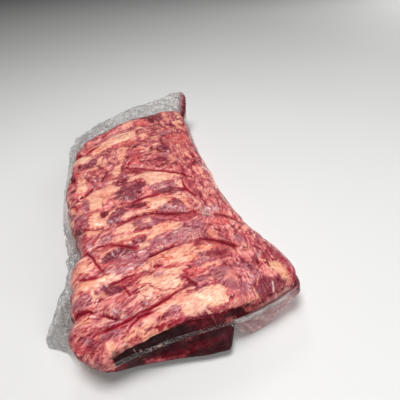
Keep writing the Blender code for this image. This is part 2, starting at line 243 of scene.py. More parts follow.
def noise(x, y, seed):
    """Smooth noise between about -1 and 1, with lumps about one unit across."""
    turn = np.random.default_rng(seed).uniform(0, 2 * np.pi, (NOISE_CELLS, NOISE_CELLS))
    i, j = np.floor(x).astype(int), np.floor(y).astype(int)
    u, v = x - i, y - j
    ease_u, ease_v = u ** 3 * (u * (6 * u - 15) + 10), v ** 3 * (v * (6 * v - 15) + 10)
    total = 0
    for di, weight_u in ((0, 1 - ease_u), (1, ease_u)):
        for dj, weight_v in ((0, 1 - ease_v), (1, ease_v)):
            angle = turn[(i + di) % NOISE_CELLS, (j + dj) % NOISE_CELLS]
            total = total + weight_u * weight_v * (np.cos(angle) * (u - di) + np.sin(angle) * (v - dj))
    return NOISE_GAIN * total


def layered_noise(x, y, seed, layers=3):
    """Noise with finer, weaker noise on top of it."""
    total, weight = 0, 1.0
    for layer in range(layers):
        finer = LAYER_FINER ** layer
        total = total + weight * noise(x * finer, y * finer, seed + layer)
        weight *= LAYER_WEAKER
    return total / LAYERS_SUM


def ridges(x, y, seed, sharpness=2):
    """Noise folded into sharp ridges, 1 along their tops."""
    return 1 - sharpness * np.abs(noise(x, y, seed))


# --- the slab's form ------------------------------------------------------------------------------------

def grid_lines(steps, shoulder_steps, first_shoulder, last_shoulder, growth=0.0):
    """Each grid line as (share of the way across, step in from it), close together on the shoulders."""
    turn = np.linspace(0, np.pi / 2, shoulder_steps + 1)[:-1]
    inset = 1 - np.cos(turn)
    share = np.linspace(0, 1, steps + 1)
    if growth:
        share = np.expm1(growth * share) / np.expm1(growth)
    first = np.stack([np.zeros_like(inset), inset * first_shoulder], 1)
    middle = np.stack([share, first_shoulder * (1 - share) - last_shoulder * share], 1)
    last = np.stack([np.ones_like(inset), -inset * last_shoulder], 1)[::-1]
    return np.concatenate([first, middle, last])


def round_corner(across, along, radius):
    """Two distances from a corner's edges, moved so that the corner becomes an arc."""
    p = np.clip(1 - across / radius, 0, None)
    q = np.clip(1 - along / radius, 0, None)
    turned = (p > 0) & (q > 0)
    pull = np.maximum(p, q) / np.hypot(p, np.where(turned, q, 1))
    across = np.where(turned, radius * (1 - p * pull), across)
    along = np.where(turned, radius * (1 - q * pull), along)
    return across, along


def shoulder_drop(inset, shoulder):
    """The share of the way from the top down to the waist at this distance in from the edge."""
    return 1 - np.sqrt(1 - np.clip(1 - inset / shoulder, 0, 1) ** 2)


def top_height(x, y):
    """The height of the slab's top, rising to the ridge and falling to the near left corner and far end."""
    crown = CROWN * (1 - (2 * x / WIDTH) ** 2)
    ridge = RIDGE_HEIGHT * bump(y, RIDGE_PLACE, RIDGE_WIDTH)
    from_corner = np.hypot(x - LUMP_CORNER[0], y - LUMP_CORNER[1])
    corner_fall = CORNER_FALL * bump(from_corner, 0, CORNER_FALL_REACH)
    far_fall = FAR_FALL * np.clip(y / FARTHEST, 0, 1)
    return TOP_HEIGHT + crown + ridge - corner_fall - far_fall


def top_grid():
    """The top of the slab down to its waist: rows of points from the near end, each from the left."""
    rows = grid_lines(ROW_STEPS, END_SHOULDER_STEPS, NEAR_SHOULDER, FAR_SHOULDER, ROW_GROWTH)
    columns = grid_lines(COLUMN_STEPS, SIDE_SHOULDER_STEPS, SIDE_SHOULDER, SIDE_SHOULDER)
    along, step_along = rows[:, None, 0], rows[:, None, 1]
    across, step_across = columns[None, :, 0], columns[None, :, 1]
    rough_x = LEFTMOST + WIDTH * across + step_across
    near = smooth_curve(NEAR_EDGE, rough_x)
    far = smooth_curve(FAR_EDGE, rough_x)
    y = near * (1 - along) + far * along + step_along
    left = smooth_curve(LEFT_EDGE, y)
    right = smooth_curve(RIGHT_EDGE, y)
    x = left * (1 - across) + right * across + step_across
    from_left, from_right, from_near, from_far = x - left, right - x, y - near, far - y

    height = top_height(x, y)
    drops = (
        (shoulder_drop(from_left, SIDE_SHOULDER), WAIST_HEIGHT),
        (shoulder_drop(from_right, SIDE_SHOULDER), WAIST_HEIGHT),
        (shoulder_drop(from_near, NEAR_SHOULDER), smooth_curve(NEAR_WAIST, x)),
        (shoulder_drop(from_far, FAR_SHOULDER), WAIST_HEIGHT),
    )
    z = np.min([height + (waist - height) * drop for drop, waist in drops], axis=0)

    from_left, from_near = round_corner(from_left, from_near, NEAR_LEFT_CORNER)
    from_right, from_near = round_corner(from_right, from_near, NEAR_RIGHT_CORNER)
    from_left, from_far = round_corner(from_left, from_far, FAR_LEFT_CORNER)
    from_right, from_far = round_corner(from_right, from_far, FAR_RIGHT_CORNER)
    x = np.where(across < 0.5, left + from_left, right - from_right)
    y = np.where(along < 0.5, near + from_near, far - from_far)
    return np.stack([x, y, z], -1)


def rim_of(grid):
    """The grid's outermost points, from the far left corner down the left side and on round."""
    left = grid[::-1, 0]
    near = grid[0, :]
    right = grid[:, -1]
    far = grid[-1, ::-1]
    return np.concatenate([left[:-1], near[:-1], right[:-1], far[:-1]])


def way_round(grid):
    """How far round each point of the rim is: 0 to 1 on the left side, 1 to 2 at the near end, and on."""
    places = []
    for side, line in enumerate((grid[::-1, 0], grid[0], grid[:, -1], grid[-1, ::-1])):
        steps = np.linalg.norm(np.diff(line[:, :2], axis=0), axis=1)
        places.append(side + np.concatenate([[0], np.cumsum(steps)[:-1]]) / steps.sum())
    return np.concatenate(places)


def outward(rim, passes=12):
    """The direction that points level and outwards at each point of the rim, evened out along it."""
    ahead = np.roll(rim, -1, 0) - np.roll(rim, 1, 0)
    normal = np.stack([ahead[:, 1], -ahead[:, 0]], 1)
    normal /= np.linalg.norm(normal, axis=1)[:, None]
    for _ in range(passes):
        normal = np.roll(normal, 1, 0) + 2 * normal + np.roll(normal, -1, 0)
        normal /= np.linalg.norm(normal, axis=1)[:, None]
    return normal


def wall_offset(rim, normal, z):
    """How far the wall stands out from the rim at height z, less than nothing where it is drawn in."""
    foot = FOOT_INSET * (1 - np.sqrt(1 - np.clip(1 - z / FOOT_HEIGHT, 0, 1) ** 2))
    facing = np.clip(-normal[:, 1], 0, 1) ** 3
    x = rim[:, 0]
    hollow = END_HOLLOW * bump(z, END_HOLLOW_HEIGHT, END_HOLLOW_REACH)
    beyond_lobe = smooth_step(LOBE_FULLEST, LOBE_RIGHT, x)
    across_lobe = smooth_step(LOBE_LEFT, LOBE_FULLEST, x) * (1 - beyond_lobe)
    lobe = LOBE_SWELL * bump(z, LOBE_HEIGHT, LOBE_REACH) * across_lobe
    lowness = smooth_step(SEAM_HEIGHT, UNDERCUT_FULL_BELOW, z)
    undercut = UNDERCUT * beyond_lobe * lowness
    from_corner = np.hypot(x - LUMP_CORNER[0], rim[:, 1] - LUMP_CORNER[1])
    tuck = CORNER_TUCK * bump(from_corner, 0, CORNER_TUCK_REACH) * lowness
    return facing * (lobe - hollow - undercut) - foot - tuck


def wall_rings(rim, normal):
    """The wall under the rim as rings of points, the last of them on the table."""
    above = np.linspace(0, 1, UPPER_RINGS + 1)[1:]
    below = 1 - np.sin(np.linspace(0, np.pi / 2, LOWER_RINGS + 1)[1:])
    heights = [rim[:, 2] + (SEAM_HEIGHT - rim[:, 2]) * share for share in above]
    heights += [np.full(len(rim), SEAM_HEIGHT * share) for share in below]
    return [
        np.column_stack([rim[:, :2] + normal * wall_offset(rim, normal, z)[:, None], z])
        for z in heights
    ]


def underside_rings(last_ring):
    middle = last_ring.mean(0)
    return [middle + (last_ring - middle) * share for share in UNDERSIDE_SHARES]


def ring_faces(upper, lower):
    count = len(upper)
    return [(upper[k], lower[k], lower[(k + 1) % count], upper[(k + 1) % count]) for k in range(count)]


def slab_faces(rows, columns, ring_count):
    """The faces of the grid, of the rings under its rim, and the last one that closes the underside."""
    index = np.arange(rows * columns).reshape(rows, columns)
    faces = [
        (index[r, c], index[r, c + 1], index[r + 1, c + 1], index[r + 1, c])
        for r in range(rows - 1)
        for c in range(columns - 1)
    ]
    upper = rim_of(index[..., None])[:, 0]
    start = rows * columns
    for _ in range(ring_count):
        lower = np.arange(start, start + len(upper))
        faces += ring_faces(upper, lower)
        upper = lower
        start += len(lower)
    faces.append(tuple(upper[::-1]))
    return [tuple(int(corner) for corner in face) for face in faces]


def map_of(grid, rim, normal, rings):
    """Each point's place on the map in millimetres: seen from above, with the walls unrolled outwards."""
    places = [grid[..., :2].reshape(-1, 2)]
    down = np.zeros(len(rim))
    above = rim
    for ring in rings:
        down = down + np.linalg.norm(ring - above, axis=1)
        above = ring
        places.append(rim[:, :2] + normal * down[:, None])
    return np.concatenate(places) / MM


# --- objects and shaders --------------------------------------------------------------------------------

def new_object(name, points, faces):
    mesh = bpy.data.meshes.new(name)
    mesh.from_pydata([tuple(point) for point in points], [], faces)
    mesh.shade_smooth()
    piece = bpy.data.objects.new(name, mesh)
    bpy.context.scene.collection.objects.link(piece)
    return piece


def points_of(mesh):
    points = np.empty(len(mesh.vertices) * 3, np.float32)
    mesh.vertices.foreach_get("co", points)
    return points.reshape(-1, 3)


def normals_of(mesh):
    normals = np.empty(len(mesh.vertices) * 3, np.float32)
    mesh.vertex_normals.foreach_get("vector", normals)
    return normals.reshape(-1, 3)


def push_out(mesh, heights):
    """Moves each point out along its normal."""
    points = points_of(mesh) + normals_of(mesh) * heights[:, None]
    mesh.vertices.foreach_set("co", points.ravel())
    mesh.update()


def add_attribute(mesh, name, values):
    kind, field = ("FLOAT", "value") if values.ndim == 1 else ("FLOAT_COLOR", "color")
    layer = mesh.attributes.new(name, kind, "POINT")
    if values.ndim == 2:
        values = np.column_stack([values, np.ones(len(values))])
    layer.data.foreach_set(field, np.ascontiguousarray(values, np.float32).ravel())


def linear(color):
    """Display colours from 0 to 1 as linear light."""
    color = np.asarray(color, float)
    return np.where(color <= 0.04045, color / 12.92, ((color + 0.055) / 1.055) ** 2.4)


# --- marbling -------------------------------------------------------------------------------------------

# Tissue: display colour from 0 to 255, how far its middle stands up in millimetres. Some are not tissue
# alone: gleam is a painted glint of the film, grey the film's greyish look with a painted sheen, mauve is
# lean under the film with a painted sheen, and veil is painted light on the wall behind the curtain. Clot is
# dark meat darkened further as painted shade on the lobe and the near wall, and black paints the shade in
# the hollow under the near end's ridge and in narrow gaps.
TISSUES = {
    "ivory": ((250, 206, 174), 0.5),
    "cream": ((246, 188, 158), 0.5),
    "peach": ((241, 166, 138), 0.4),
    "orange": ((228, 126, 98), 0.3),
    "pink": ((228, 136, 132), 0.2),
    "rose": ((184, 76, 84), 0.0),
    "salmon": ((212, 92, 92), 0.1),
    "mauve": ((176, 101, 110), -0.1),
    "violet": ((128, 46, 62), -0.3),
    "red": ((164, 30, 50), -0.2),
    "crimson": ((134, 12, 38), -0.4),
    "lean": ((138, 40, 55), -0.3),
    "wine": ((116, 12, 32), -0.6),
    "dark": ((86, 4, 20), -0.9),
    "clot": ((50, 2, 12), -0.9),
    "black": ((42, 2, 8), -1.2),
    "amber": ((196, 132, 100), 0.2),
    "grey": ((158, 134, 132), 0.0),
    "veil": ((222, 190, 186), 0.0),
    "gleam": ((246, 212, 206), 0.2),
    "gold": ((226, 164, 124), 0.3),
}

# How much a tissue's light fibres differ from it, and how much a tissue hides of what lies under it.
GRAIN_TINT = np.array([20, 38, 32])
OPACITY = 0.92

# The share of its written depth that a crease has, how it reddens the tissue beside it, and its lit lips.
CREASE_DEPTH = 0.38
CREASE_GLOW = np.array([0.97, 0.62, 0.66])
LIP_LIGHT = (250, 176, 168)

# Where the right column begins, from and to, in millimetres. Its grain runs lengthwise, and that of the
# ribs across the slab at a slant.
COLUMN_FROM = (56, 72)
COLUMN_SIDE = 64
GRAIN_SLANT = 0.25
# The lumps of a patch in millimetres, across and along the slab.
RIB_LUMP = (12, 2.6)
COLUMN_LUMP = (2.6, 11)
# The direction of threads in radians, how much it varies, and how much longer they are in the column.
RIB_THREADS = 0.2
COLUMN_THREADS = 1.5
THREAD_SPREAD = 0.35
COLUMN_STRETCH = 1.5
# Towards the near wall from here, in millimetres, no threads are strewn.
THREADS_STOP_AT = -254
# Threads with less green than this are dark, and show less where the tissue has more green than that.
DARK_THREAD = 70
LIGHT_GROUND = (130, 175)

# The ground: a value of its noise, and the display colour there.
MOTTLING = (
    (-0.9, (100, 20, 38)), (-0.5, (144, 44, 62)), (-0.15, (182, 76, 86)), (0.15, (208, 106, 106)),
    (0.45, (230, 150, 136)), (0.9, (248, 200, 170)),
)


def mottling(x, y):
    """The ground colour: fine marbling that runs across the ribs, and lengthwise in the right column."""
    values, levels = zip(*MOTTLING)
    ribs = 1.3 * layered_noise((x + GRAIN_SLANT * y) / 15, (y - GRAIN_SLANT * x) / 6, 11)
    column = 1.1 * layered_noise(x / 6.5, y / 20, 21)
    in_column = smooth_step(*COLUMN_FROM, x + 5 * noise(x / 12, y / 12, 31))
    amount = ribs * (1 - in_column) + column * in_column
    return np.stack([np.interp(amount, values, channel) for channel in zip(*levels)], 1)


def read_marks(text):
    """One mark a line: words and sizes, then its stops as x,y pairs in millimetres."""
    for line in text.strip().splitlines():
        words = line.split()
        stops = np.array([[float(n) for n in word.split(",")] for word in words if "," in word])
        yield [word for word in words if "," not in word], stops


def beside(places, course):
    """How far along a course and how far to its left each place is, and the course's length."""
    start, step = course[:-1], np.diff(course, axis=0)
    length = np.linalg.norm(step, axis=1)
    offset = places[:, None] - start[None]
    share = np.clip((offset * step).sum(-1) / length ** 2, 0, 1)
    apart = offset - share[..., None] * step
    distance = np.linalg.norm(apart, axis=2)
    nearest = distance.argmin(1)
    row = np.arange(len(places))
    passed = np.concatenate([[0], np.cumsum(length)])
    along = passed[nearest] + share[row, nearest] * length[nearest]
    side = np.sign(step[nearest, 0] * apart[row, nearest, 1] - step[nearest, 1] * apart[row, nearest, 0])
    return along, side * distance[row, nearest], passed[-1]


def inside(places, corners):
    """How far inside a closed outline each place is, less than nothing outside it."""
    ahead = np.roll(corners, -1, 0)
    _, distance, _ = beside(places, np.concatenate([corners, corners[:1]]))
    crossings = np.zeros(len(places), int)
    for (ax, ay), (bx, by) in zip(corners, ahead):
        spans = (ay > places[:, 1]) != (by > places[:, 1])
        if ay != by:
            crossings += spans & (places[:, 0] < ax + (places[:, 1] - ay) * (bx - ax) / (by - ay))
    return np.where(crossings % 2 == 1, 1, -1) * np.abs(distance)


def close_to(places, stops, reach):
    """The rows of the places that lie within a reach of the box around these stops."""
    low, high = stops.min(0) - reach, stops.max(0) + reach
    return np.flatnonzero(((places > low) & (places < high)).all(1))


def taper(along, length, power):
    """1 in the middle of a course and 0 at its ends, where it falls the faster the higher the power."""
    return 1 - np.abs(2 * along / length - 1) ** power


def tint(color, rows, tone, amount):
    """Moves the colour of these rows towards a tone."""
    color[rows] += (tone - color[rows]) * amount[:, None]


def lay(color, height, rows, tissue, opacity, grain):
    """Puts a tissue over what is there, with grain as small changes of its lightness."""
    tone, rise = TISSUES[tissue]
    tint(color, rows, np.clip(np.array(tone) + GRAIN_TINT * grain[:, None], 0, 255), opacity)
    height[rows] += (rise - height[rows]) * opacity


def lay_patches(color, height, places, text):
    """Patches: a tissue, how soft the edge is, and the corners of the outline."""
    for number, ((tissue, soft), corners) in enumerate(read_marks(text)):
        soft = float(soft)
        rows = close_to(places, corners, 3 * soft + 3)
        x, y = places[rows].T
        wide, long = COLUMN_LUMP if corners[:, 0].mean() > COLUMN_SIDE else RIB_LUMP
        ragged = 1.9 * noise(x / wide, y / long, 40 + number) + noise(x / 2.2, y / 2.2, 70 + number)
        depth = inside(places[rows], corners) + ragged
        grain = layered_noise(x / wide * 1.2, y / long * 1.2, 90 + number)
        holes = smooth_step(0.25, 0.75, layered_noise(x / wide, y / long, 140 + number))
        opacity = smooth_step(-1.3 * soft, 1.3 * soft, depth) * (OPACITY - 0.5 * holes)
        lay(color, height, rows, tissue, opacity, grain)


def lay_strokes(color, height, places, text):
    """Strokes: a tissue, half its width, and its stops. They narrow to their ends and have fibres."""
    for number, ((tissue, half_width), stops) in enumerate(read_marks(text)):
        half_width = float(half_width)
        rows = close_to(places, stops, 1.8 * half_width + 2)
        x, y = places[rows].T
        along, across, length = beside(places[rows], smooth_course(stops, 24))
        swell = 1 + 0.3 * noise(along / (3 + half_width), 0 * along + number, 7)
        width = half_width * swell * taper(along, length, 3) ** 0.6 + 0.05
        ragged = 0.35 * min(half_width, 3) * noise(x / 3, y / 3, number)
        fibre = noise(along / 9, across / (0.6 + 0.12 * half_width), 300 + number)
        edge = np.abs(across + ragged) / width
        opacity = smooth_step(1.35, 0.65, edge) * (OPACITY - 0.3 * smooth_step(0.1, 0.8, fibre))
        lay(color, height, rows, tissue, opacity, fibre)


def cut_creases(color, height, bridged, places, text):
    """Creases: the tissue in them, depth and half width in millimetres, and stops. Their dark stain is blood
    and also painted shade of the crease. Their lips stand up, one of them lit by a painted highlight.

    The film spans a crease, so bridged tells where it lies over one and shines less.
    """
    for number, ((tissue, depth, half_width), stops) in enumerate(read_marks(text)):
        depth, half_width = CREASE_DEPTH * float(depth), float(half_width)
        rows = close_to(places, stops, 5 * half_width + 2)
        along, across, length = beside(places[rows], smooth_course(stops, 30))
        across = across + 0.5 * noise(along / 8, 0 * along + number, 8)
        fade = taper(along, length, 4) * (1 + 0.25 * noise(along / 9, 0 * along, number))
        shown = np.clip(fade, 0, 1)
        aside = np.abs(across)
        core = bump(across, 0, 1.4 * half_width) * fade
        lips = bump(aside, 3 * half_width, 1.5 * half_width) * fade
        height[rows] += 0.3 * depth * lips - depth * core
        # The stain is blood in the crease and also its painted shade.
        stain = smooth_step(1.7, 0.7, aside / half_width) * np.clip(1.3 * fade, 0, 1)
        glow = smooth_step(4.0, 1.0, aside / half_width) * shown
        tint(color, rows, color[rows] * CREASE_GLOW, glow)
        lit = 0.4 * bump(across, 3.2 * half_width, 0.7 * half_width + 0.2) * shown
        tint(color, rows, LIP_LIGHT, lit)
        tint(color, rows, TISSUES[tissue][0], stain)
        bridged[rows] = np.maximum(bridged[rows], stain)


def lay_thread(color, height, places, stops, tissue, widest, opacity, rise):
    """One thin line that narrows to both ends, raised in its middle by so many millimetres."""
    rows = close_to(places, stops, 2.5)
    if len(rows) == 0:
        return
    along, across, length = beside(places[rows], smooth_course(stops, 9))
    width = widest * taper(along, length, 2) + 0.05
    shown = smooth_step(1.5, 0.5, np.abs(across) / width) * opacity
    tone = TISSUES[tissue][0]
    if tone[1] < DARK_THREAD:
        shown *= 1 - 0.6 * smooth_step(*LIGHT_GROUND, color[rows, 1])
    tint(color, rows, tone, shown)
    height[rows] += rise * shown


def lay_threads(color, height, places, count, lengths, half_widths, tissues, seed):
    """Short curved threads of fat, of lean and of blood, and painted glints of the film, strewn over the
    slab along its grain.
    """
    draw = np.random.default_rng(seed)
    low, high = places.min(0), places.max(0)
    for _ in range(count):
        middle = draw.uniform(low, high)
        in_column = middle[0] > COLUMN_SIDE
        angle = draw.normal(COLUMN_THREADS if in_column else RIB_THREADS, THREAD_SPREAD)
        ahead = np.array([np.cos(angle), np.sin(angle)])
        size = draw.uniform(*lengths) * (COLUMN_STRETCH if in_column else 1)
        sag = draw.normal(0, 0.14) * size * np.array([-ahead[1], ahead[0]])
        stops = np.array([middle - size * ahead, middle + sag, middle + size * ahead])
        tissue, widest, opacity = draw.choice(tissues), draw.uniform(*half_widths), draw.uniform(0.5, 0.95)
        if middle[1] > THREADS_STOP_AT:
            lay_thread(color, height, places, stops, tissue, widest, opacity, 0.0)


def lay_pulls(color, height, places, fans):
    """The film's pulled wrinkles: fine painted glints and dark lines that spread from where it is caught."""
    draw = np.random.default_rng(8)
    for x, y, first, last, nearest, farthest, count in fans:
        for angle in np.radians(np.linspace(first, last, count)) + draw.normal(0, 0.07, count):
            ahead = np.array([np.cos(angle), np.sin(angle)])
            start, end = nearest * draw.uniform(0.7, 1.6), farthest * draw.uniform(0.5, 1.0)
            sag = draw.normal(0, 0.05) * (end - start) * np.array([-ahead[1], ahead[0]])
            middle = (start + end) / 2 * ahead + sag
            stops = np.array([(x, y)]) + np.array([start * ahead, middle, end * ahead])
            tissue, widest = draw.choice(["gleam", "gleam", "gleam", "wine"]), draw.uniform(0.35, 0.6)
            lay_thread(color, height, places, stops, tissue, widest, draw.uniform(0.2, 0.6), 0.25)
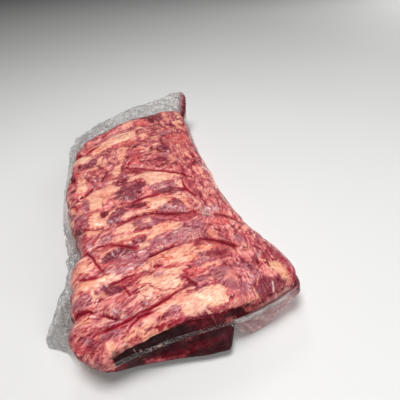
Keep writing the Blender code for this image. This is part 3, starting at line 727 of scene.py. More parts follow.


# Corners and stops are x,y in millimetres on the map. Later marks lie over earlier ones, and a backslash
# carries a long mark on to the next line.
# Some patches paint light and shade. The black patch is the painted shadow in the hollow under the near end's
# ridge, and the clot, dark and wine patches of the near wall and the lobe are dark meat that also carries
# painted shade there. The two dark patches at the far end, by the standing flap, are its painted shadow. The
# veil patch is painted light on the wall behind the curtain, and mauve patches carry a painted sheen of the
# film.
PATCHES = """
clot 3 -62,-262 -50,-259 -20,-258 0,-257 40,-256 70,-257 92,-256 80,-272 70,-286 70,-360 -62,-360
wine 3 116,-190 119,-206 121,-216 122,-230 126,-238 134,-241 150,-244 170,-205 150,-160 130,-150 124,-176
mauve 2 -62,-165 -10,-164 -20,-172 -30,-176 -42,-180 -55,-178 -63,-172
peach 1.5 -95,-171 -86,-176 -70,-178 -52,-178 -44,-184 -50,-188 -66,-189 -84,-190 -96,-186
peach 1.5 -34,-182 -20,-176 -6,-168 12,-165 12,-172 -4,-178 -16,-184 -30,-186
rose 1.5 -58,-191 -40,-188 -18,-187 -14,-191 -30,-194 -50,-196
violet 1.2 -63,-193 -58,-190 -50,-193 -48,-200 -50,-206 -57,-205 -64,-200
mauve 1.5 -98,-194 -84,-192 -76,-198 -78,-208 -90,-211 -99,-206
pink 2 -80,-208 -50,-207 -38,-212 -50,-216 -78,-216
cream 1.5 -28,-198 -20,-194 -5,-192 14,-191 20,-196 14,-204 14,-222 0,-227 -12,-226 -25,-225 -33,-219 \
-31,-210
pink 1.5 -100,-219 -88,-217 -76,-222 -72,-232 -84,-234 -98,-230
peach 1.2 -94,-220 -84,-219 -78,-224 -86,-228
mauve 1.2 -60,-223 -50,-221 -47,-228 -52,-234 -60,-231
rose 1.5 -78,-234 -62,-232 -42,-232 -18,-230 -14,-234 -30,-238 -60,-240 -78,-239
mauve 1.2 -74,-243 -60,-242 -50,-244 -52,-250 -66,-251 -73,-248
pink 1.5 -46,-244 -36,-242 -20,-241 -16,-246 -28,-250 -42,-251
peach 1.5 -22,-238 -8,-234 8,-230 16,-228 14,-236 6,-242 -4,-242 -14,-246 -22,-244
pink 1 -68,-250 -56,-248 -50,-252 -50,-255 -62,-260 -68,-260
peach 0.9 -66,-252 -61,-251 -59,-255 -62,-261 -66,-259
mauve 0.9 -6,-248 -6,-241 2,-239 7,-243 7,-249
peach 1.5 0,-164 40,-164 42,-172 40,-182 30,-188 20,-190 5,-188 0,-184
cream 1.2 8,-170 20,-168 34,-172 30,-182 18,-187 10,-182
orange 1.2 42,-168 52,-170 62,-169 66,-175 62,-180 52,-179 44,-174
cream 1 48,-171 58,-171 62,-175 54,-177
mauve 1.2 41,-176 47,-180 50,-188 46,-191 41,-186
lean 2 50,-180 64,-181 76,-184 74,-192 60,-192 50,-188
salmon 1.5 20,-200 30,-198 44,-200 48,-205 40,-211 26,-213 20,-208
mauve 1.2 30,-192 40,-189 56,-191 52,-196 38,-197 31,-197
mauve 1.5 45,-208 60,-206 80,-208 92,-214 95,-225 92,-238 80,-247 65,-248 57,-243 52,-232 45,-222
pink 1.8 62,-214 76,-216 84,-226 78,-236 66,-234 60,-224
mauve 1 20,-214 30,-214 42,-216 40,-222 30,-223 24,-228 20,-222
cream 1.3 10,-236 20,-232 35,-230 50,-231 53,-240 51,-250 10,-252 4,-247
ivory 1.5 24,-238 44,-236 47,-246 26,-247
pink 1.2 86,-197 92,-192 100,-194 104,-200 98,-206 90,-205
pink 1.4 95,-222 104,-220 110,-224 116,-232 110,-238 100,-234
gold 1.6 104,-221 112,-219 118,-222 121,-232 124,-240 114,-241 107,-233
violet 1.5 78,-240 92,-236 108,-239 122,-241 110,-246 92,-249 78,-250
mauve 1.5 118,-204 126,-206 134,-214 137,-226 130,-236 122,-226
mauve 1.5 88,-166 97,-165 99,-174 94,-179 88,-176
cream 1.2 -75,-84 -57,-84 -57,-97 -75,-97
mauve 1.5 -98,-84 -80,-86 -80,-94 -86,-104 -84,-116 -94,-112 -98,-100
peach 1.2 -79,-101 -62,-102 -58,-106 -70,-110 -78,-109
rose 1.5 -93,-110 -78,-112 -68,-112 -68,-120 -80,-122 -90,-118
violet 1.2 -54,-86 -44,-84 -40,-92 -44,-99 -52,-98
cream 1.2 -47,-113 -40,-106 -30,-103 -22,-105 -21,-112 -22,-120 -30,-121 -40,-118
pink 1.2 -52,-104 -44,-102 -42,-108 -48,-114 -53,-111
mauve 1.8 -20,-101 -4,-98 10,-101 12,-114 0,-119 -14,-118 -21,-110
peach 1 -11,-103 0,-103 1,-108 -10,-109
cream 1.2 -50,-126 -42,-121 -30,-123 -15,-124 -16,-129 -30,-131 -44,-132
peach 1.2 -22,-127 -8,-122 4,-119 14,-116 16,-124 0,-129 -16,-130
mauve 1 -64,-120 -58,-116 -51,-119 -50,-127 -58,-129 -64,-127
lean 1 -29,-134 -20,-132 -11,-131 -11,-140 -18,-141 -27,-138
cream 1.3 -9,-133 -2,-129 14,-127 14,-134 2,-138 -6,-142 -10,-140
violet 1 -65,-151 -60,-146 -52,-142 -43,-140 -36,-141 -30,-148 -36,-154 -45,-158 -55,-158 -62,-156
cream 1 -20,-145 -14,-142 -9,-144 -8,-150 -14,-151 -20,-149
mauve 1.5 -8,-142 4,-138 14,-136 16,-150 12,-158 0,-158 -8,-154
mauve 1.8 -44,-156 -30,-152 -10,-152 -6,-158 -14,-165 -40,-166 -58,-164
peach 1.5 -93,-152 -86,-149 -77,-150 -75,-158 -77,-168 -88,-170 -96,-163
mauve 1 11,-89 25,-84 46,-84 50,-98 47,-105 35,-104 22,-99
mauve 1.5 66,-103 75,-101 88,-102 92,-108 88,-118 75,-119 68,-114
rose 1.5 5,-101 20,-104 45,-109 60,-111 62,-118 50,-122 35,-123 30,-118 15,-113 5,-110
peach 1.3 0,-120 8,-117 20,-116 27,-119 33,-124 28,-131 18,-133 5,-131 0,-131
mauve 1.4 0,-140 12,-136 30,-133 40,-127 50,-124 62,-126 61,-140 52,-150 42,-158 25,-160 20,-157 10,-158 \
0,-157
salmon 1.8 62,-124 76,-128 92,-134 104,-142 96,-146 80,-141 66,-136
orange 1.3 62,-150 68,-147 72,-152 72,-160 66,-161 60,-156
peach 1.3 99,-161 105,-154 112,-148 113,-156 106,-163
wine 2 100,-135 108,-138 114,-146 110,-150 103,-144
rose 1.5 46,-158 60,-164 68,-170 60,-171 46,-168 40,-162
pink 1.5 -98,-4 -80,-4 -78,-12 -85,-20 -95,-18 -100,-12
peach 1.6 -84,-33 -80,-26 -74,-19 -62,-13 -50,-9 -41,-9 -38,-18 -41,-30 -48,-38 -52,-46 -58,-54 -60,-64 \
-66,-66 -75,-60 -76,-44 -77,-34
cream 2 -74,-34 -64,-30 -60,-40 -62,-58 -72,-58 -75,-46
mauve 1.2 -84,-34 -79,-32 -76,-38 -75,-47 -77,-57 -82,-58 -86,-50 -86,-42
pink 1.2 -92,-56 -84,-54 -80,-60 -88,-63
rose 1 -78,-60 -62,-60 -60,-65 -70,-65 -78,-64
mauve 1.5 -92,-63 -83,-62 -79,-68 -78,-84 -80,-91 -87,-91 -92,-80
peach 1.4 -76,-66 -62,-65 -61,-78 -62,-84 -57,-90 -56,-97 -76,-97 -77,-80
cream 1.2 -70,-70 -65,-70 -64,-88 -70,-90
wine 1 -61,-66 -50,-70 -53,-76 -58,-81 -62,-79
pink 1.2 -50,-40 -44,-44 -45,-56 -48,-65 -55,-67 -58,-62 -57,-52
orange 1.5 -46,-49 -38,-52 -37,-60 -44,-62
violet 1.2 -51,-95 -53,-84 -47,-75 -40,-69 -33,-68 -27,-73 -27,-79 -33,-85 -38,-91 -42,-96
wine 1.2 -30,-66 -20,-64 -8,-65 0,-68 1,-74 -3,-79 -12,-77 -22,-72
cream 1.3 -31,-85 -20,-79 -5,-82 0,-84 12,-82 14,-88 0,-91 -15,-92 -25,-92 -34,-92
violet 1.5 -42,-46 -36,-39 -40,-30 -34,-25 -26,-19 -20,-20 -12,-16 -2,-14 3,-16 7,-24 3,-35 -2,-45 \
-3,-52 -8,-57 -18,-58 -24,-54 -30,-50 -36,-48
lean 2 -18,-44 -6,-40 -3,-50 -8,-57 -18,-57
violet 1.2 -38,-4 -19,-4 -19,-16 -26,-17 -33,-12
cream 1.5 -41,-12 -34,-14 -28,-20 -33,-26 -40,-28
cream 1.6 3,-8 10,-5 40,-4 50,-10 60,-15 62,-22 55,-24 45,-22 38,-26 28,-28 15,-30 10,-24 6,-16
peach 1.6 34,-5 48,-9 58,-16 50,-21 38,-16
mauve 1.8 10,-31 28,-29 40,-28 55,-28 57,-38 50,-44 40,-42 28,-40 15,-43 6,-38
cream 1.2 50,-38 58,-31 61,-45 57,-50 50,-46
pink 1.5 0,-30 8,-32 12,-44 10,-54 2,-54 -1,-42
violet 1.4 18,-47 30,-42 40,-44 48,-49 44,-55 34,-56 22,-55
peach 1.5 0,-61 12,-62 25,-62 33,-68 35,-75 28,-80 18,-84 8,-90 0,-91
cream 1.5 10,-70 26,-70 26,-76 12,-84 2,-84 4,-76
violet 1.2 32,-79 38,-75 44,-78 44,-84 38,-86
mauve 1.5 -97,76 -80,76 -82,62 -90,60 -97,64
cream 1.6 -89,34 -84,38 -80,30 -78,15 -76,0 -78,-8 -88,-12 -93,-5 -92,10 -90,22
pink 1.3 -78,12 -73,10 -69,-2 -72,-10 -77,-8
violet 1.8 -82,76 -64,76 -66,64 -72,56 -80,60
peach 1.6 -72,48 -66,60 -60,60 -61,47
peach 2 -58,77 -38,77 -41,66 -46,62 -50,50 -55,56
rose 2 -78,44 -60,44 -58,26 -66,22 -76,28
red 2 -67,5 -56,6 -49,-4 -52,-12 -60,-13 -65,-4
rose 2 -56,20 -42,22 -40,4 -50,0 -56,6
cream 1.4 -41,26 -34,30 -28,37 -25,28 -28,14 -34,12 -38,20
lean 1.5 -38,-15 -34,-6 -31,2 -20,3 -17,-4 -18,-15
mauve 1.5 -29,6 -20,15 -14,8 -18,2 -26,2
rose 1.5 -17,22 -12,28 0,22 14,14 22,7 8,5 -10,6
lean 2 -14,20 -4,20 8,12 -8,9
cream 1.5 -12,2 0,4 20,5 34,0 44,-3 30,-6 4,-6 -10,-8 -17,-3
salmon 2.5 -22,40 -10,46 0,78 14,78 12,48 6,30 -5,30 -14,34
peach 1.8 -27,80 -14,80 -13,66 -20,58 -25,66
lean 3 14,46 30,44 42,48 54,44 52,30 48,18 38,14 28,20 18,30
rose 2 20,34 32,40 44,32 38,20 28,22
violet 2 42,78 46,68 52,63 60,62 64,76 60,88 50,92 42,88
mauve 2 44,60 58,62 60,48 54,44 46,48
pink 2 20,58 36,56 37,49 26,47
peach 2 56,50 62,50 66,36 64,26 58,28 58,40
mauve 2 95,14 103,14 111,2 110,-10 98,-12
cream 1.8 -101,98 -92,104 -80,101 -70,100 -67,92 -74,84 -84,77 -96,79 -103,88
ivory 2 -88,96 -76,98 -72,92 -80,84 -88,86
violet 1.8 -86,68 -78,78 -70,86 -64,88 -60,80 -62,64 -76,62
peach 1.8 -73,106 -60,103 -50,106 -42,110 -37,118 -28,124 -40,128 -55,129 -66,119
cream 2.2 -62,131 -50,140 -36,150 -28,170 14,170 16,150 12,140 2,134 -10,128 -22,124 -38,124 -52,128
ivory 2.5 -28,140 -10,144 4,152 0,142 -16,132 -28,132
pink 2 -76,140 -66,142 -56,148 -40,156 -34,168 -76,168
salmon 2 -36,116 -24,124 -8,128 10,134 14,118 0,112 -12,110 -26,112
peach 2 -28,84 -24,104 -12,110 -4,104 -6,92 -10,86 -14,74 -26,74
rose 2 -8,96 0,98 12,90 12,68 -4,66 -8,80
peach 1.4 21,134 26,130 32,132 37,142 36,151 30,157 24,157 20,148
cream 1.5 24,138 30,136 34,144 31,152 25,152
peach 1.8 39,131 48,132 50,122 45,117 39,120
mauve 2 56,149 66,147 80,149 80,136 72,130 60,130
salmon 3 70,130 100,132 106,112 104,88 90,80 72,86 70,108
peach 2 95,165 106,165 108,150 102,144 96,150
peach 1.8 8,98 18,100 23,94 20,88 10,90
cream 1.8 22,92 28,92 30,80 26,74 22,80
mauve 2 -92,156 -76,158 -70,184 -84,178
mauve 1.5 -78,160 -66,164 -62,186 -72,182
lean 2 -74,160 -62,164 -52,170 -54,176 -66,172 -74,168
lean 2 -54,180 -40,182 -35,196 -35,208 -46,201 -54,192
rose 2.5 -36,196 -20,204 -6,214 -6,230 -20,222 -36,210
pink 2.5 -38,174 -20,192 -4,202 8,192 0,180 -14,174 -30,168
cream 2.5 -32,158 -10,170 14,170 14,158
grey 1.6 -9,214 -6,231 4,239 14,245 14,228 6,222
peach 2 -3,222 14,228 21,220 16,206 8,194 0,190 -6,200
dark 1.5 15,229 14,243 24,249 45,251 46,236 34,236 24,231
dark 1.8 45,226 46,252 60,256 78,259 76,242 66,238 58,232 52,222
salmon 2.5 18,182 30,190 48,186 48,214 40,222 26,220 20,206
lean 2 62,240 78,247 81,228 79,206 66,200 61,212
wine 2.2 48,230 56,236 62,236 62,212 60,196 52,200 47,216
peach 1.6 82,258 91,258 92,236 90,206 88,186 83,188 82,214
rose 1.8 100,254 108,250 107,226 104,200 99,204 100,230
cream 1.6 114,240 122,232 123,222 115,204 108,202 108,214 112,228
cream 1.6 95,190 104,192 114,190 117,182 110,172 100,166 96,176
dark 2 -6,-256 0,-254.5 36,-254 44,-258 46,-284 10,-274 -2,-270
dark 1.4 4,-257 17,-256.5 17,-266 5,-267
wine 1.8 38,-254 58,-254 60,-268 46,-278 40,-268
dark 1.6 60,-255 69,-254 78,-266 66,-270
violet 1.5 60,-262 70,-258 74,-266 64,-270
amber 1.4 76,-254 88,-252 92,-259 82,-263
dark 1.6 93,-249 98,-249 108,-262 100,-264
wine 2 101,-249 120,-245 134,-240 128,-250 118,-260 108,-262
wine 1.6 45,-284 60,-281 80,-274 99,-265 99,-269 80,-280 60,-285
dark 2 14,-274 44,-280 44,-286 16,-286
red 1.8 -53,-261 -38,-258 -37,-269 -50,-270
peach 1.6 -52,-253 -42,-249 -26,-248 -14,-250 -20,-254 -36,-256 -48,-256
amber 1.2 -30,-255 -12,-254 -10,-258 -22,-262 -30,-261
black 1.8 -66,-259 -56,-258.5 -46,-260 -30,-264 -12,-267 2,-271 6,-278 -4,-286 -14,-289 -40,-286 -62,-282
wine 1.6 -64,-284 -50,-287 -40,-292 -44,-300 -64,-300
pink 1.4 -74,-256 -69,-257 -68,-266 -70,-278 -75,-278 -73,-268
rose 2 -84,-262 -73,-262 -72,-284 -82,-276
clot 2 -50,-286 -30,-290 0,-292 50,-288 68,-285 68,-350 -62,-350
clot 4 -40,-318 0,-322 66,-316 66,-350 -50,-350
wine 2.5 -128,-262 -100,-268 -78,-284 -62,-290 -62,-340 -128,-340
mauve 2 -92,-262 -80,-258 -74,-262 -76,-276 -88,-276
pink 1.6 -72,-268 -66,-270 -64,-282 -72,-284
rose 1.4 -36,-292 -14,-298 6,-298 2,-304 -34,-300
veil 2.5 68,-284 90,-276 112,-264 138,-248 150,-262 140,-300 110,-320 66,-330
lean 1.6 112,-300 130,-288 138,-300 118,-312
dark 1.4 62,-286 72,-284 76,-292 66,-312 60,-312
red 1.4 117,-190 119,-206 121,-216 123,-229 126,-238 134,-241 150,-244 170,-205 150,-160 131,-150 125,-176
"""

# Gleam and grey strokes are painted glints and sheen of the film, and mauve strokes carry a painted sheen.
STROKES = """
cream 2 -77,-192 -75,-200 -76,-207
peach 2.5 -67,-195 -65,-206
peach 2.2 -90,-181 -70,-182 -48,-186
cream 2 -90,-186 -80,-184
pink 1.6 -96,-172 -94,-184
mauve 3 -16,-188 -10,-195 -2,-194
red 3 -10,-183 -4,-184
wine 1.3 -7,-183 -5,-185
salmon 1 -38,-201 -25,-203 -15,-206
rose 0.8 -20,-205 -14,-213 -5,-219 6,-221
rose 0.7 -30,-211 -26,-219 -18,-223
peach 1 -8,-198 2,-202 10,-200
ivory 3 0,-206 8,-212 8,-218
red 1.3 -46,-223 -40,-213 -30,-208 -19,-204
salmon 2 -70,-212 -52,-212 -40,-215
pink 1.6 -62,-206 -46,-208 -36,-206
peach 1 -98,-222 -88,-221 -80,-226
rose 1.1 -96,-227 -86,-230 -78,-229
violet 1.6 -67,-223 -62,-230 -56,-236
wine 1.6 -61,-228 -55,-233 -51,-239
gleam 0.7 -58,-222 -53,-227
gleam 0.6 -66,-231 -58,-236
violet 1.3 -74,-238 -58,-237 -40,-236 -22,-233
gleam 0.6 -87,-236 -82,-241
rose 2 -100,-236 -92,-244 -84,-250
mauve 2.5 -92,-234 -84,-242 -76,-252
red 1.2 -50,-255 -30,-253.5 -10,-252 8,-252
peach 1 2,-240 6,-238 10,-241
peach 1.6 -20,-196 -4,-191 14,-189 24,-191
salmon 1 -2,-191 14,-189 28,-192 33,-197
cream 2 0,-194 16,-194 26,-197
orange 2 -2,-170 4,-176 14,-178
orange 2 24,-178 32,-181 38,-186
red 1.2 54,-181 57,-179 60,-181
salmon 2.2 -2,-186 10,-189 22,-190 36,-188
red 1.5 62,-183 70,-187 76,-192
peach 2 38,-203 50,-200 60,-201
pink 1.5 56,-196 68,-198 80,-202
rose 1 28,-211 35,-209 50,-206 62,-207 73,-212
violet 2.2 19,-212 24,-221 27,-229
pink 2.2 53,-228 60,-224 66,-228
pink 3 52,-238 58,-244 66,-243
red 1.2 68,-230 74,-228
grey 1 99,-208 104,-202 109,-199
pink 1.4 68,-222 76,-222
wine 1.2 96,-208 97,-214 98,-219
wine 1.4 85,-217 90,-218
gleam 1 128,-187 131,-193 132,-199
mauve 3 122,-190 128,-200 132,-212
wine 1.4 103,-188 108,-192 110,-198
wine 1.2 92,-187 97,-189
rose 3 104,-206 112,-212 120,-214
cream 1.6 100,-214 107,-216
violet 3 -100,-110 -98,-124 -97,-138
black 3.4 -104,-108 -99,-124 -96,-138 -96,-150
dark 1.6 -106,-196 -103,-208 -101,-214
wine 1.8 -98,-93 -94,-102 -90,-109
wine 0.9 -94,-84 -90,-98
rose 1.2 -50,-102 -60,-106 -74,-110
salmon 1.2 -46,-117 -30,-121 -15,-122 -4,-120
wine 1.2 -19,-119 -10,-118 -2,-117
violet 3 5,-104 10,-110 18,-114
salmon 1.6 -46,-134 -34,-132 -22,-131 -11,-130
peach 1.3 -68,-153 -64,-147 -57,-142 -50,-139 -42,-138
wine 0.8 -66,-128 -64,-120 -60,-116 -52,-114
pink 1.4 -68,-122 -64,-114 -56,-110
dark 0.8 -58,-144 -50,-155
dark 0.7 -52,-143 -44,-152
dark 0.7 -62,-149 -56,-156
dark 0.7 -44,-142 -38,-150
grey 1.3 -43,-156 -34,-152 -28,-149
rose 1.2 -34,-144 -28,-150 -22,-154
gleam 0.7 -24,-156 -14,-158
gleam 0.6 -36,-160 -26,-157
pink 1.2 -24,-161 -14,-156
wine 1.2 -88,-135 -80,-138 -72,-142
violet 2.4 -82,-134 -74,-140
salmon 2 -70,-157 -62,-162 -56,-166
peach 1.2 -74,-150 -70,-160 -66,-168
rose 1.6 -60,-160 -44,-163 -34,-162
salmon 1.2 -62,-167 -46,-169 -30,-168
rose 2 -94,-160 -88,-166 -80,-168
pink 1.3 -84,-146 -78,-152
violet 0.8 14,-93 22,-88 30,-84
gleam 0.6 28,-92 38,-90
mauve 1 30,-97 42,-98
pink 3 48,-85 52,-94 56,-103
wine 1.3 57,-103 57,-108
wine 1.2 57,-111 58,-115
pink 1.4 64,-86 66,-94
pink 1.4 72,-88 72,-96
gleam 1 70,-94 71,-98
grey 2.4 65,-119 70,-121 75,-120
violet 1.2 66,-122 72,-123
grey 0.6 70,-120 66,-108 64,-100
grey 0.6 71,-119 71,-106
grey 0.6 72,-120 76,-108
gleam 1 76,-104 80,-110
orange 3.4 12,-125 18,-125
cream 1.4 23,-125 27,-127
pink 1.6 32,-116 35,-121
pink 1.4 36,-122 38,-127
rose 1 36,-118 36,-124
wine 0.9 37,-131 45,-135 56,-138
rose 1.2 34,-141 30,-148 24,-155 20,-157
violet 0.8 8,-151 18,-147 26,-142
violet 0.9 49,-150 52,-156 58,-155 62,-151
violet 0.8 52,-137 58,-143 60,-149
pink 1.6 1,-151 6,-156
gleam 0.6 18,-140 28,-138
grey 0.6 40,-142 50,-138
wine 1.6 66,-137 70,-139
pink 1.3 62,-140 68,-150 76,-158
gleam 0.8 68,-142 72,-148
wine 0.8 70,-145 75,-152 81,-158
pink 1.2 78,-142 84,-150 90,-156
cream 1.2 86,-148 90,-152
wine 1 99,-157 103,-156
cream 1.2 100,-117 101,-126
salmon 2 96,-122 90,-126
gleam 1.8 111,-70 113,-100 116,-125 121,-150 127,-172
wine 2.4 107,-80 108,-98
rose 2 104,-106 110,-122
wine 2.6 -92,-27 -92,-32
wine 1.4 -105,-30 -100,-36 -95,-41
pink 3.4 -104,-24 -99,-28 -95,-33
wine 1.1 -76,-16 -68,-13 -60,-11 -51,-8
rose 3.4 -60,-7 -52,-8
red 1.3 -93,-40 -91,-48 -92,-57
peach 3 -102,-38 -97,-46 -93,-55
wine 1.6 -104,-45 -101,-56 -100,-64
peach 3 -104,-60 -99,-68 -97,-76
wine 2 -100,-80 -95,-90 -91,-98
dark 1.2 -59,-67 -50,-70
peach 1.6 -56,-96 -56,-86 -52,-78 -46,-71 -40,-66 -30,-63 -19,-62
wine 0.8 -50,-80 -44,-73 -36,-67
salmon 1.2 -28,-72 -18,-78 -8,-81
rose 1.2 -26,-77 -14,-81
pink 1 -40,-62 -26,-62
salmon 1.8 -6,-6 -2,-12 4,-20
red 1.6 0,-8 4,-11
pink 3 -14,-6 -10,-11
gleam 0.7 -46,-48 -44,-58
violet 1 -57,-46 -58,-60
peach 1 -52,-42 -56,-52
orange 2 -60,-24 -55,-32
orange 1.3 -52,-30 -46,-36
wine 1 -1,-15 6,-25 10,-31
wine 2.2 61,-8 66,-16 68,-24
wine 1.2 64,-25 68,-26
wine 1.2 70,-27 77,-30
wine 1.6 24,-55 32,-54 39,-55
salmon 3 4,-60 20,-58 32,-61 40,-68
red 1.2 12,-56 22,-53
cream 1.4 48,-30 53,-34
rose 1.2 36,-30 46,-30 54,-28
violet 0.9 12,-90 20,-85 28,-79 38,-75
violet 0.8 16,-94 26,-85 36,-78
peach 3 30,-64 38,-68 45,-72 50,-82 52,-92 55,-99
cream 2 42,-69 47,-72
red 1.2 38,-72 44,-80 48,-90
salmon 3 56,-80 60,-90
orange 2.4 52,-64 58,-72
mauve 2.4 56,-66 62,-74
rose 1.2 60,-35 59,-45 60,-55 63,-65 69,-73
red 1.2 48,-49 55,-53 61,-60
wine 1.2 97,-42 97,-47
wine 1.3 94,-52 96,-57
wine 1 75,-31 77,-34
wine 1 71,-36 73,-39
peach 3 93,-5 93,-15 95,-26
pink 3.4 76,-6 78,-18
pink 1.4 88,-8 88,-20
cream 1.3 76,-58 80,-62
pink 1.6 83,-60 84,-68
pink 2 91,-62 93,-68
red 1.5 94,-86 100,-78 106,-70
cream 2.4 101,-66 106,-54 109,-40 111,-22 112,-6
grey 3.4 -108,62 -109,42 -110,24 -108,10
black 2 -103,52 -102,36 -101,22
salmon 2.6 -98,64 -95,52 -92,40
red 1.6 -98,58 -97,50
wine 2.6 -97,31 -94,21
red 2 -87,58 -84,55
orange 2 -86,34 -86,20
peach 2 -88,4 -85,-8
wine 1.8 -85,41 -82,38
wine 1.1 -82,38 -79,28 -76,20 -72,10
wine 1.6 -61,63 -56,52 -50,43
lean 1.6 -70,72 -62,66
orange 1.6 -60,72 -54,66
lean 1.6 -46,76 -41,64 -40,55
pink 3 -47,38 -38,50 -31,58 -26,68
gleam 0.9 -44,42 -36,52
wine 1.6 -42,66 -36,56 -30,46
cream 2 -63,38 -60,33
cream 1.6 -68,29 -65,25
peach 1.4 -76,40 -72,30
violet 2.4 -47,36 -46,28 -51,20 -54,13
black 2.4 -57,10 -53,9
mauve 2.4 -64,28 -62,16 -66,8
gleam 0.8 -66,18 -64,10
orange 2 -60,2 -54,-2
cream 3.2 -46,0 -40,-4
peach 2.6 -45,25 -36,32 -28,39 -24,45 -20,52
gleam 0.8 -38,32 -30,38
wine 1.8 -25,38 -22,29 -22,21
orange 1.6 -27,20 -23,30
wine 2 -33,0 -31,-8
gleam 1 -24,10 -19,6
red 3 -5,56 0,52
wine 1.6 -17,47 -13,43
wine 1.4 -12,44 -11,36
red 3.4 8,64 9,54
pink 1.4 3,55 6,48
pink 1.4 -10,52 -6,62
wine 2.6 8,46 14,42
mauve 2 -6,34 4,36
wine 3 -13,70 -8,66
wine 1.4 30,61 33,59
wine 1.4 39,62 42,64
pink 1.4 18,40 21,30 22,21
wine 1.4 30,36 34,32
wine 1.6 40,24 46,22
violet 1.6 44,40 52,36
red 3.2 50,3 53,13
pink 2 26,21 30,13 37,6
gleam 1 28,15 33,9
pink 1.8 42,17 46,15
cream 1.4 58,60 60,66
gleam 1 60,66 61,61
peach 2.4 84,44 88,36 92,28
wine 2.2 76,32 79,28
grey 1.8 67,32 71,27
red 1.6 91,75 92,66
salmon 4 82,68 84,50
salmon 3.4 96,60 100,48
peach 1.6 70,22 71,8
wine 1.2 74,14 76,4
wine 1.2 86,12 88,2
pink 1.6 82,24 84,14
lean 2.6 113,76 110,50 107,30 104,15
wine 2.2 102,20 103,7
gleam 1.6 104,-4 107,-16
wine 1.6 98,36 95,28
pink 3 -100,72 -90,68
wine 2.4 -93,72 -86,67
wine 1.3 -70,91 -65,86 -62,80
pink 3 -66,100 -62,92
violet 1.4 -57,94 -60,86
cream 3 -60,64 -56,78 -50,90
rose 1.2 -47,92 -50,80
violet 1.3 -43,88 -42,72
red 1.4 -39,87 -35,78 -30,68
pink 2 -46,80 -45,68
black 2.6 -53,104 -46,107 -40,104 -36,98
violet 3.4 -40,112 -36,104
mauve 2.4 -52,99 -44,97
orange 4 -62,115 -50,119
orange 2.6 -46,122 -38,126
lean 1.6 -92,118 -88,110 -84,107 -76,112 -70,119 -62,128 -54,134 -48,138
wine 3 -91,114 -88,107
wine 2 -80,158 -79,145 -77,134 -79,129
pink 2 -94,160 -93,146 -93,132
rose 2 -98,150 -97,130 -94,116
mauve 2.4 -88,158 -87,140 -88,126
cream 2 -86,124 -82,119
orange 2.4 -74,132 -70,122
lean 1.4 -74,160 -64,160 -54,164
red 1.6 -74,142 -70,138
lean 1.2 -30,150 -14,158 4,164
peach 2.4 -40,138 -28,148 -18,156
orange 1.4 -22,124 -8,130 4,138
wine 1.6 -28,119 -25,117
wine 1.6 -11,119 -9,116
cream 2.4 -24,82 -20,78
dark 3.4 1,98 7,104 14,107
wine 2.4 10,109 16,104
wine 1.6 -4,112 0,104
rose 1.4 31,160 38,154 41,145 37,134
rose 1.2 17,160 18,150 18,140
red 3.6 19,122 29,114
wine 2 28,117 31,111
wine 2.6 40,141 44,136
pink 2.4 47,146 52,142
wine 1.4 53,143 55,139
wine 2.4 60,131 70,128
peach 3 70,164 66,152
pink 2.6 74,150 80,142
wine 1.6 90,151 91,144
wine 2 86,134 93,132 103,134
wine 1.8 108,135 110,120 108,107
lean 3 121,166 117,132 114,102 112,80
gleam 0.9 36,97 37,93
gleam 0.9 62,121 64,116
red 2 27,98 30,88
wine 1.6 33,80 36,90 38,96
rose 2.4 40,112 48,102
mauve 2 46,86 52,76
dark 1.6 41,80 45,71 51,66
wine 1.6 56,120 56,102 57,90
wine 1.8 60,108 64,101
peach 2.6 74,104 80,98
peach 2.4 82,114 86,106
peach 2 92,96 98,92
peach 2 78,82 84,78
wine 3 -47,165 -42,174 -36,185
wine 1.6 -88,172 -84,160
pink 1.6 -72,178 -69,166
gleam 1 -64,182 -62,174
pink 1.6 -26,216 -25,200
rose 1.8 -16,220 -14,206
gleam 1 0,234 3,224
lean 1.6 8,176 12,186 16,196
wine 2 20,172 20,160
cream 3.6 23,187 33,177
peach 2 34,176 38,166
pink 3 40,206 46,200
orange 3 28,214 38,222
pink 3 40,188 48,184
grey 1.8 55,235 57,226
mauve 2 70,222 71,206
pink 2 72,198 76,188
red 1.8 94,230 95,216
pink 2.4 95,254 96,236
pink 2 97,214 96,200
wine 2 102,193 109,198 117,207
rose 1.4 118,216 122,206
wine 2 91,187 90,174 92,162
orange 1.6 86,240 86,216
red 3 104,176 110,162
red 1.8 119,197 116,178 112,160
dark 2.6 126,216 123,190 121,166
wine 1.6 56,190 57,182
lean 3 64,186 68,178
pink 2 74,176 80,168
wine 1.4 50,172 52,160
wine 1.6 60,168 58,158
salmon 3 34,200 36,190
pink 1.6 14,196 16,186
mauve 2.4 46,228 47,218
wine 2.4 34,-255 38,-266 46,-282
rose 1.6 56,-254 60,-266
rose 0.8 64,-259 68,-258 72,-261 73,-266
salmon 0.8 48,-281 62,-279 78,-275 92,-267
pink 1.2 104,-250 112,-256 120,-256
pink 1 112,-246 120,-250 128,-248
amber 0.9 -34,-254 -20,-259 -6,-262 6,-268
wine 1 -2,-257 14,-262 30,-266
rose 0.7 18,-256 26,-261 34,-270 38,-280
rose 0.8 34,-255 44,-262 52,-272
peach 0.8 -44,-252 -34,-254 -24,-254 -12,-256
wine 1.2 6,-270 20,-275 36,-281
dark 3 -30,-294 0,-298 36,-297 60,-292
dark 2.4 -46,-300 -24,-304 -4,-306
wine 2 2,-262 16,-268 34,-270
rose 0.6 20,-258 26,-264 36,-266
grey 0.6 -44,-275 -30,-281 -16,-283
rose 0.5 12,-257 20,-262 26,-270 24,-276
wine 3.2 121,-130 129,-155 137,-180 143,-205 145,-228
red 2 118,-128 124,-146 131,-166 137,-186
wine 2 115,-110 114,-80 113,-50 115,-20 116,10 116,50 118,90
wine 2.2 118,88 121,120 125,160 128,200 130,240
cream 1.6 106,-226 113,-230 118,-236
red 1.6 121,-205 126,-214 127,-226 129,-236
pink 1 124,-196 131,-208 134,-222
"""
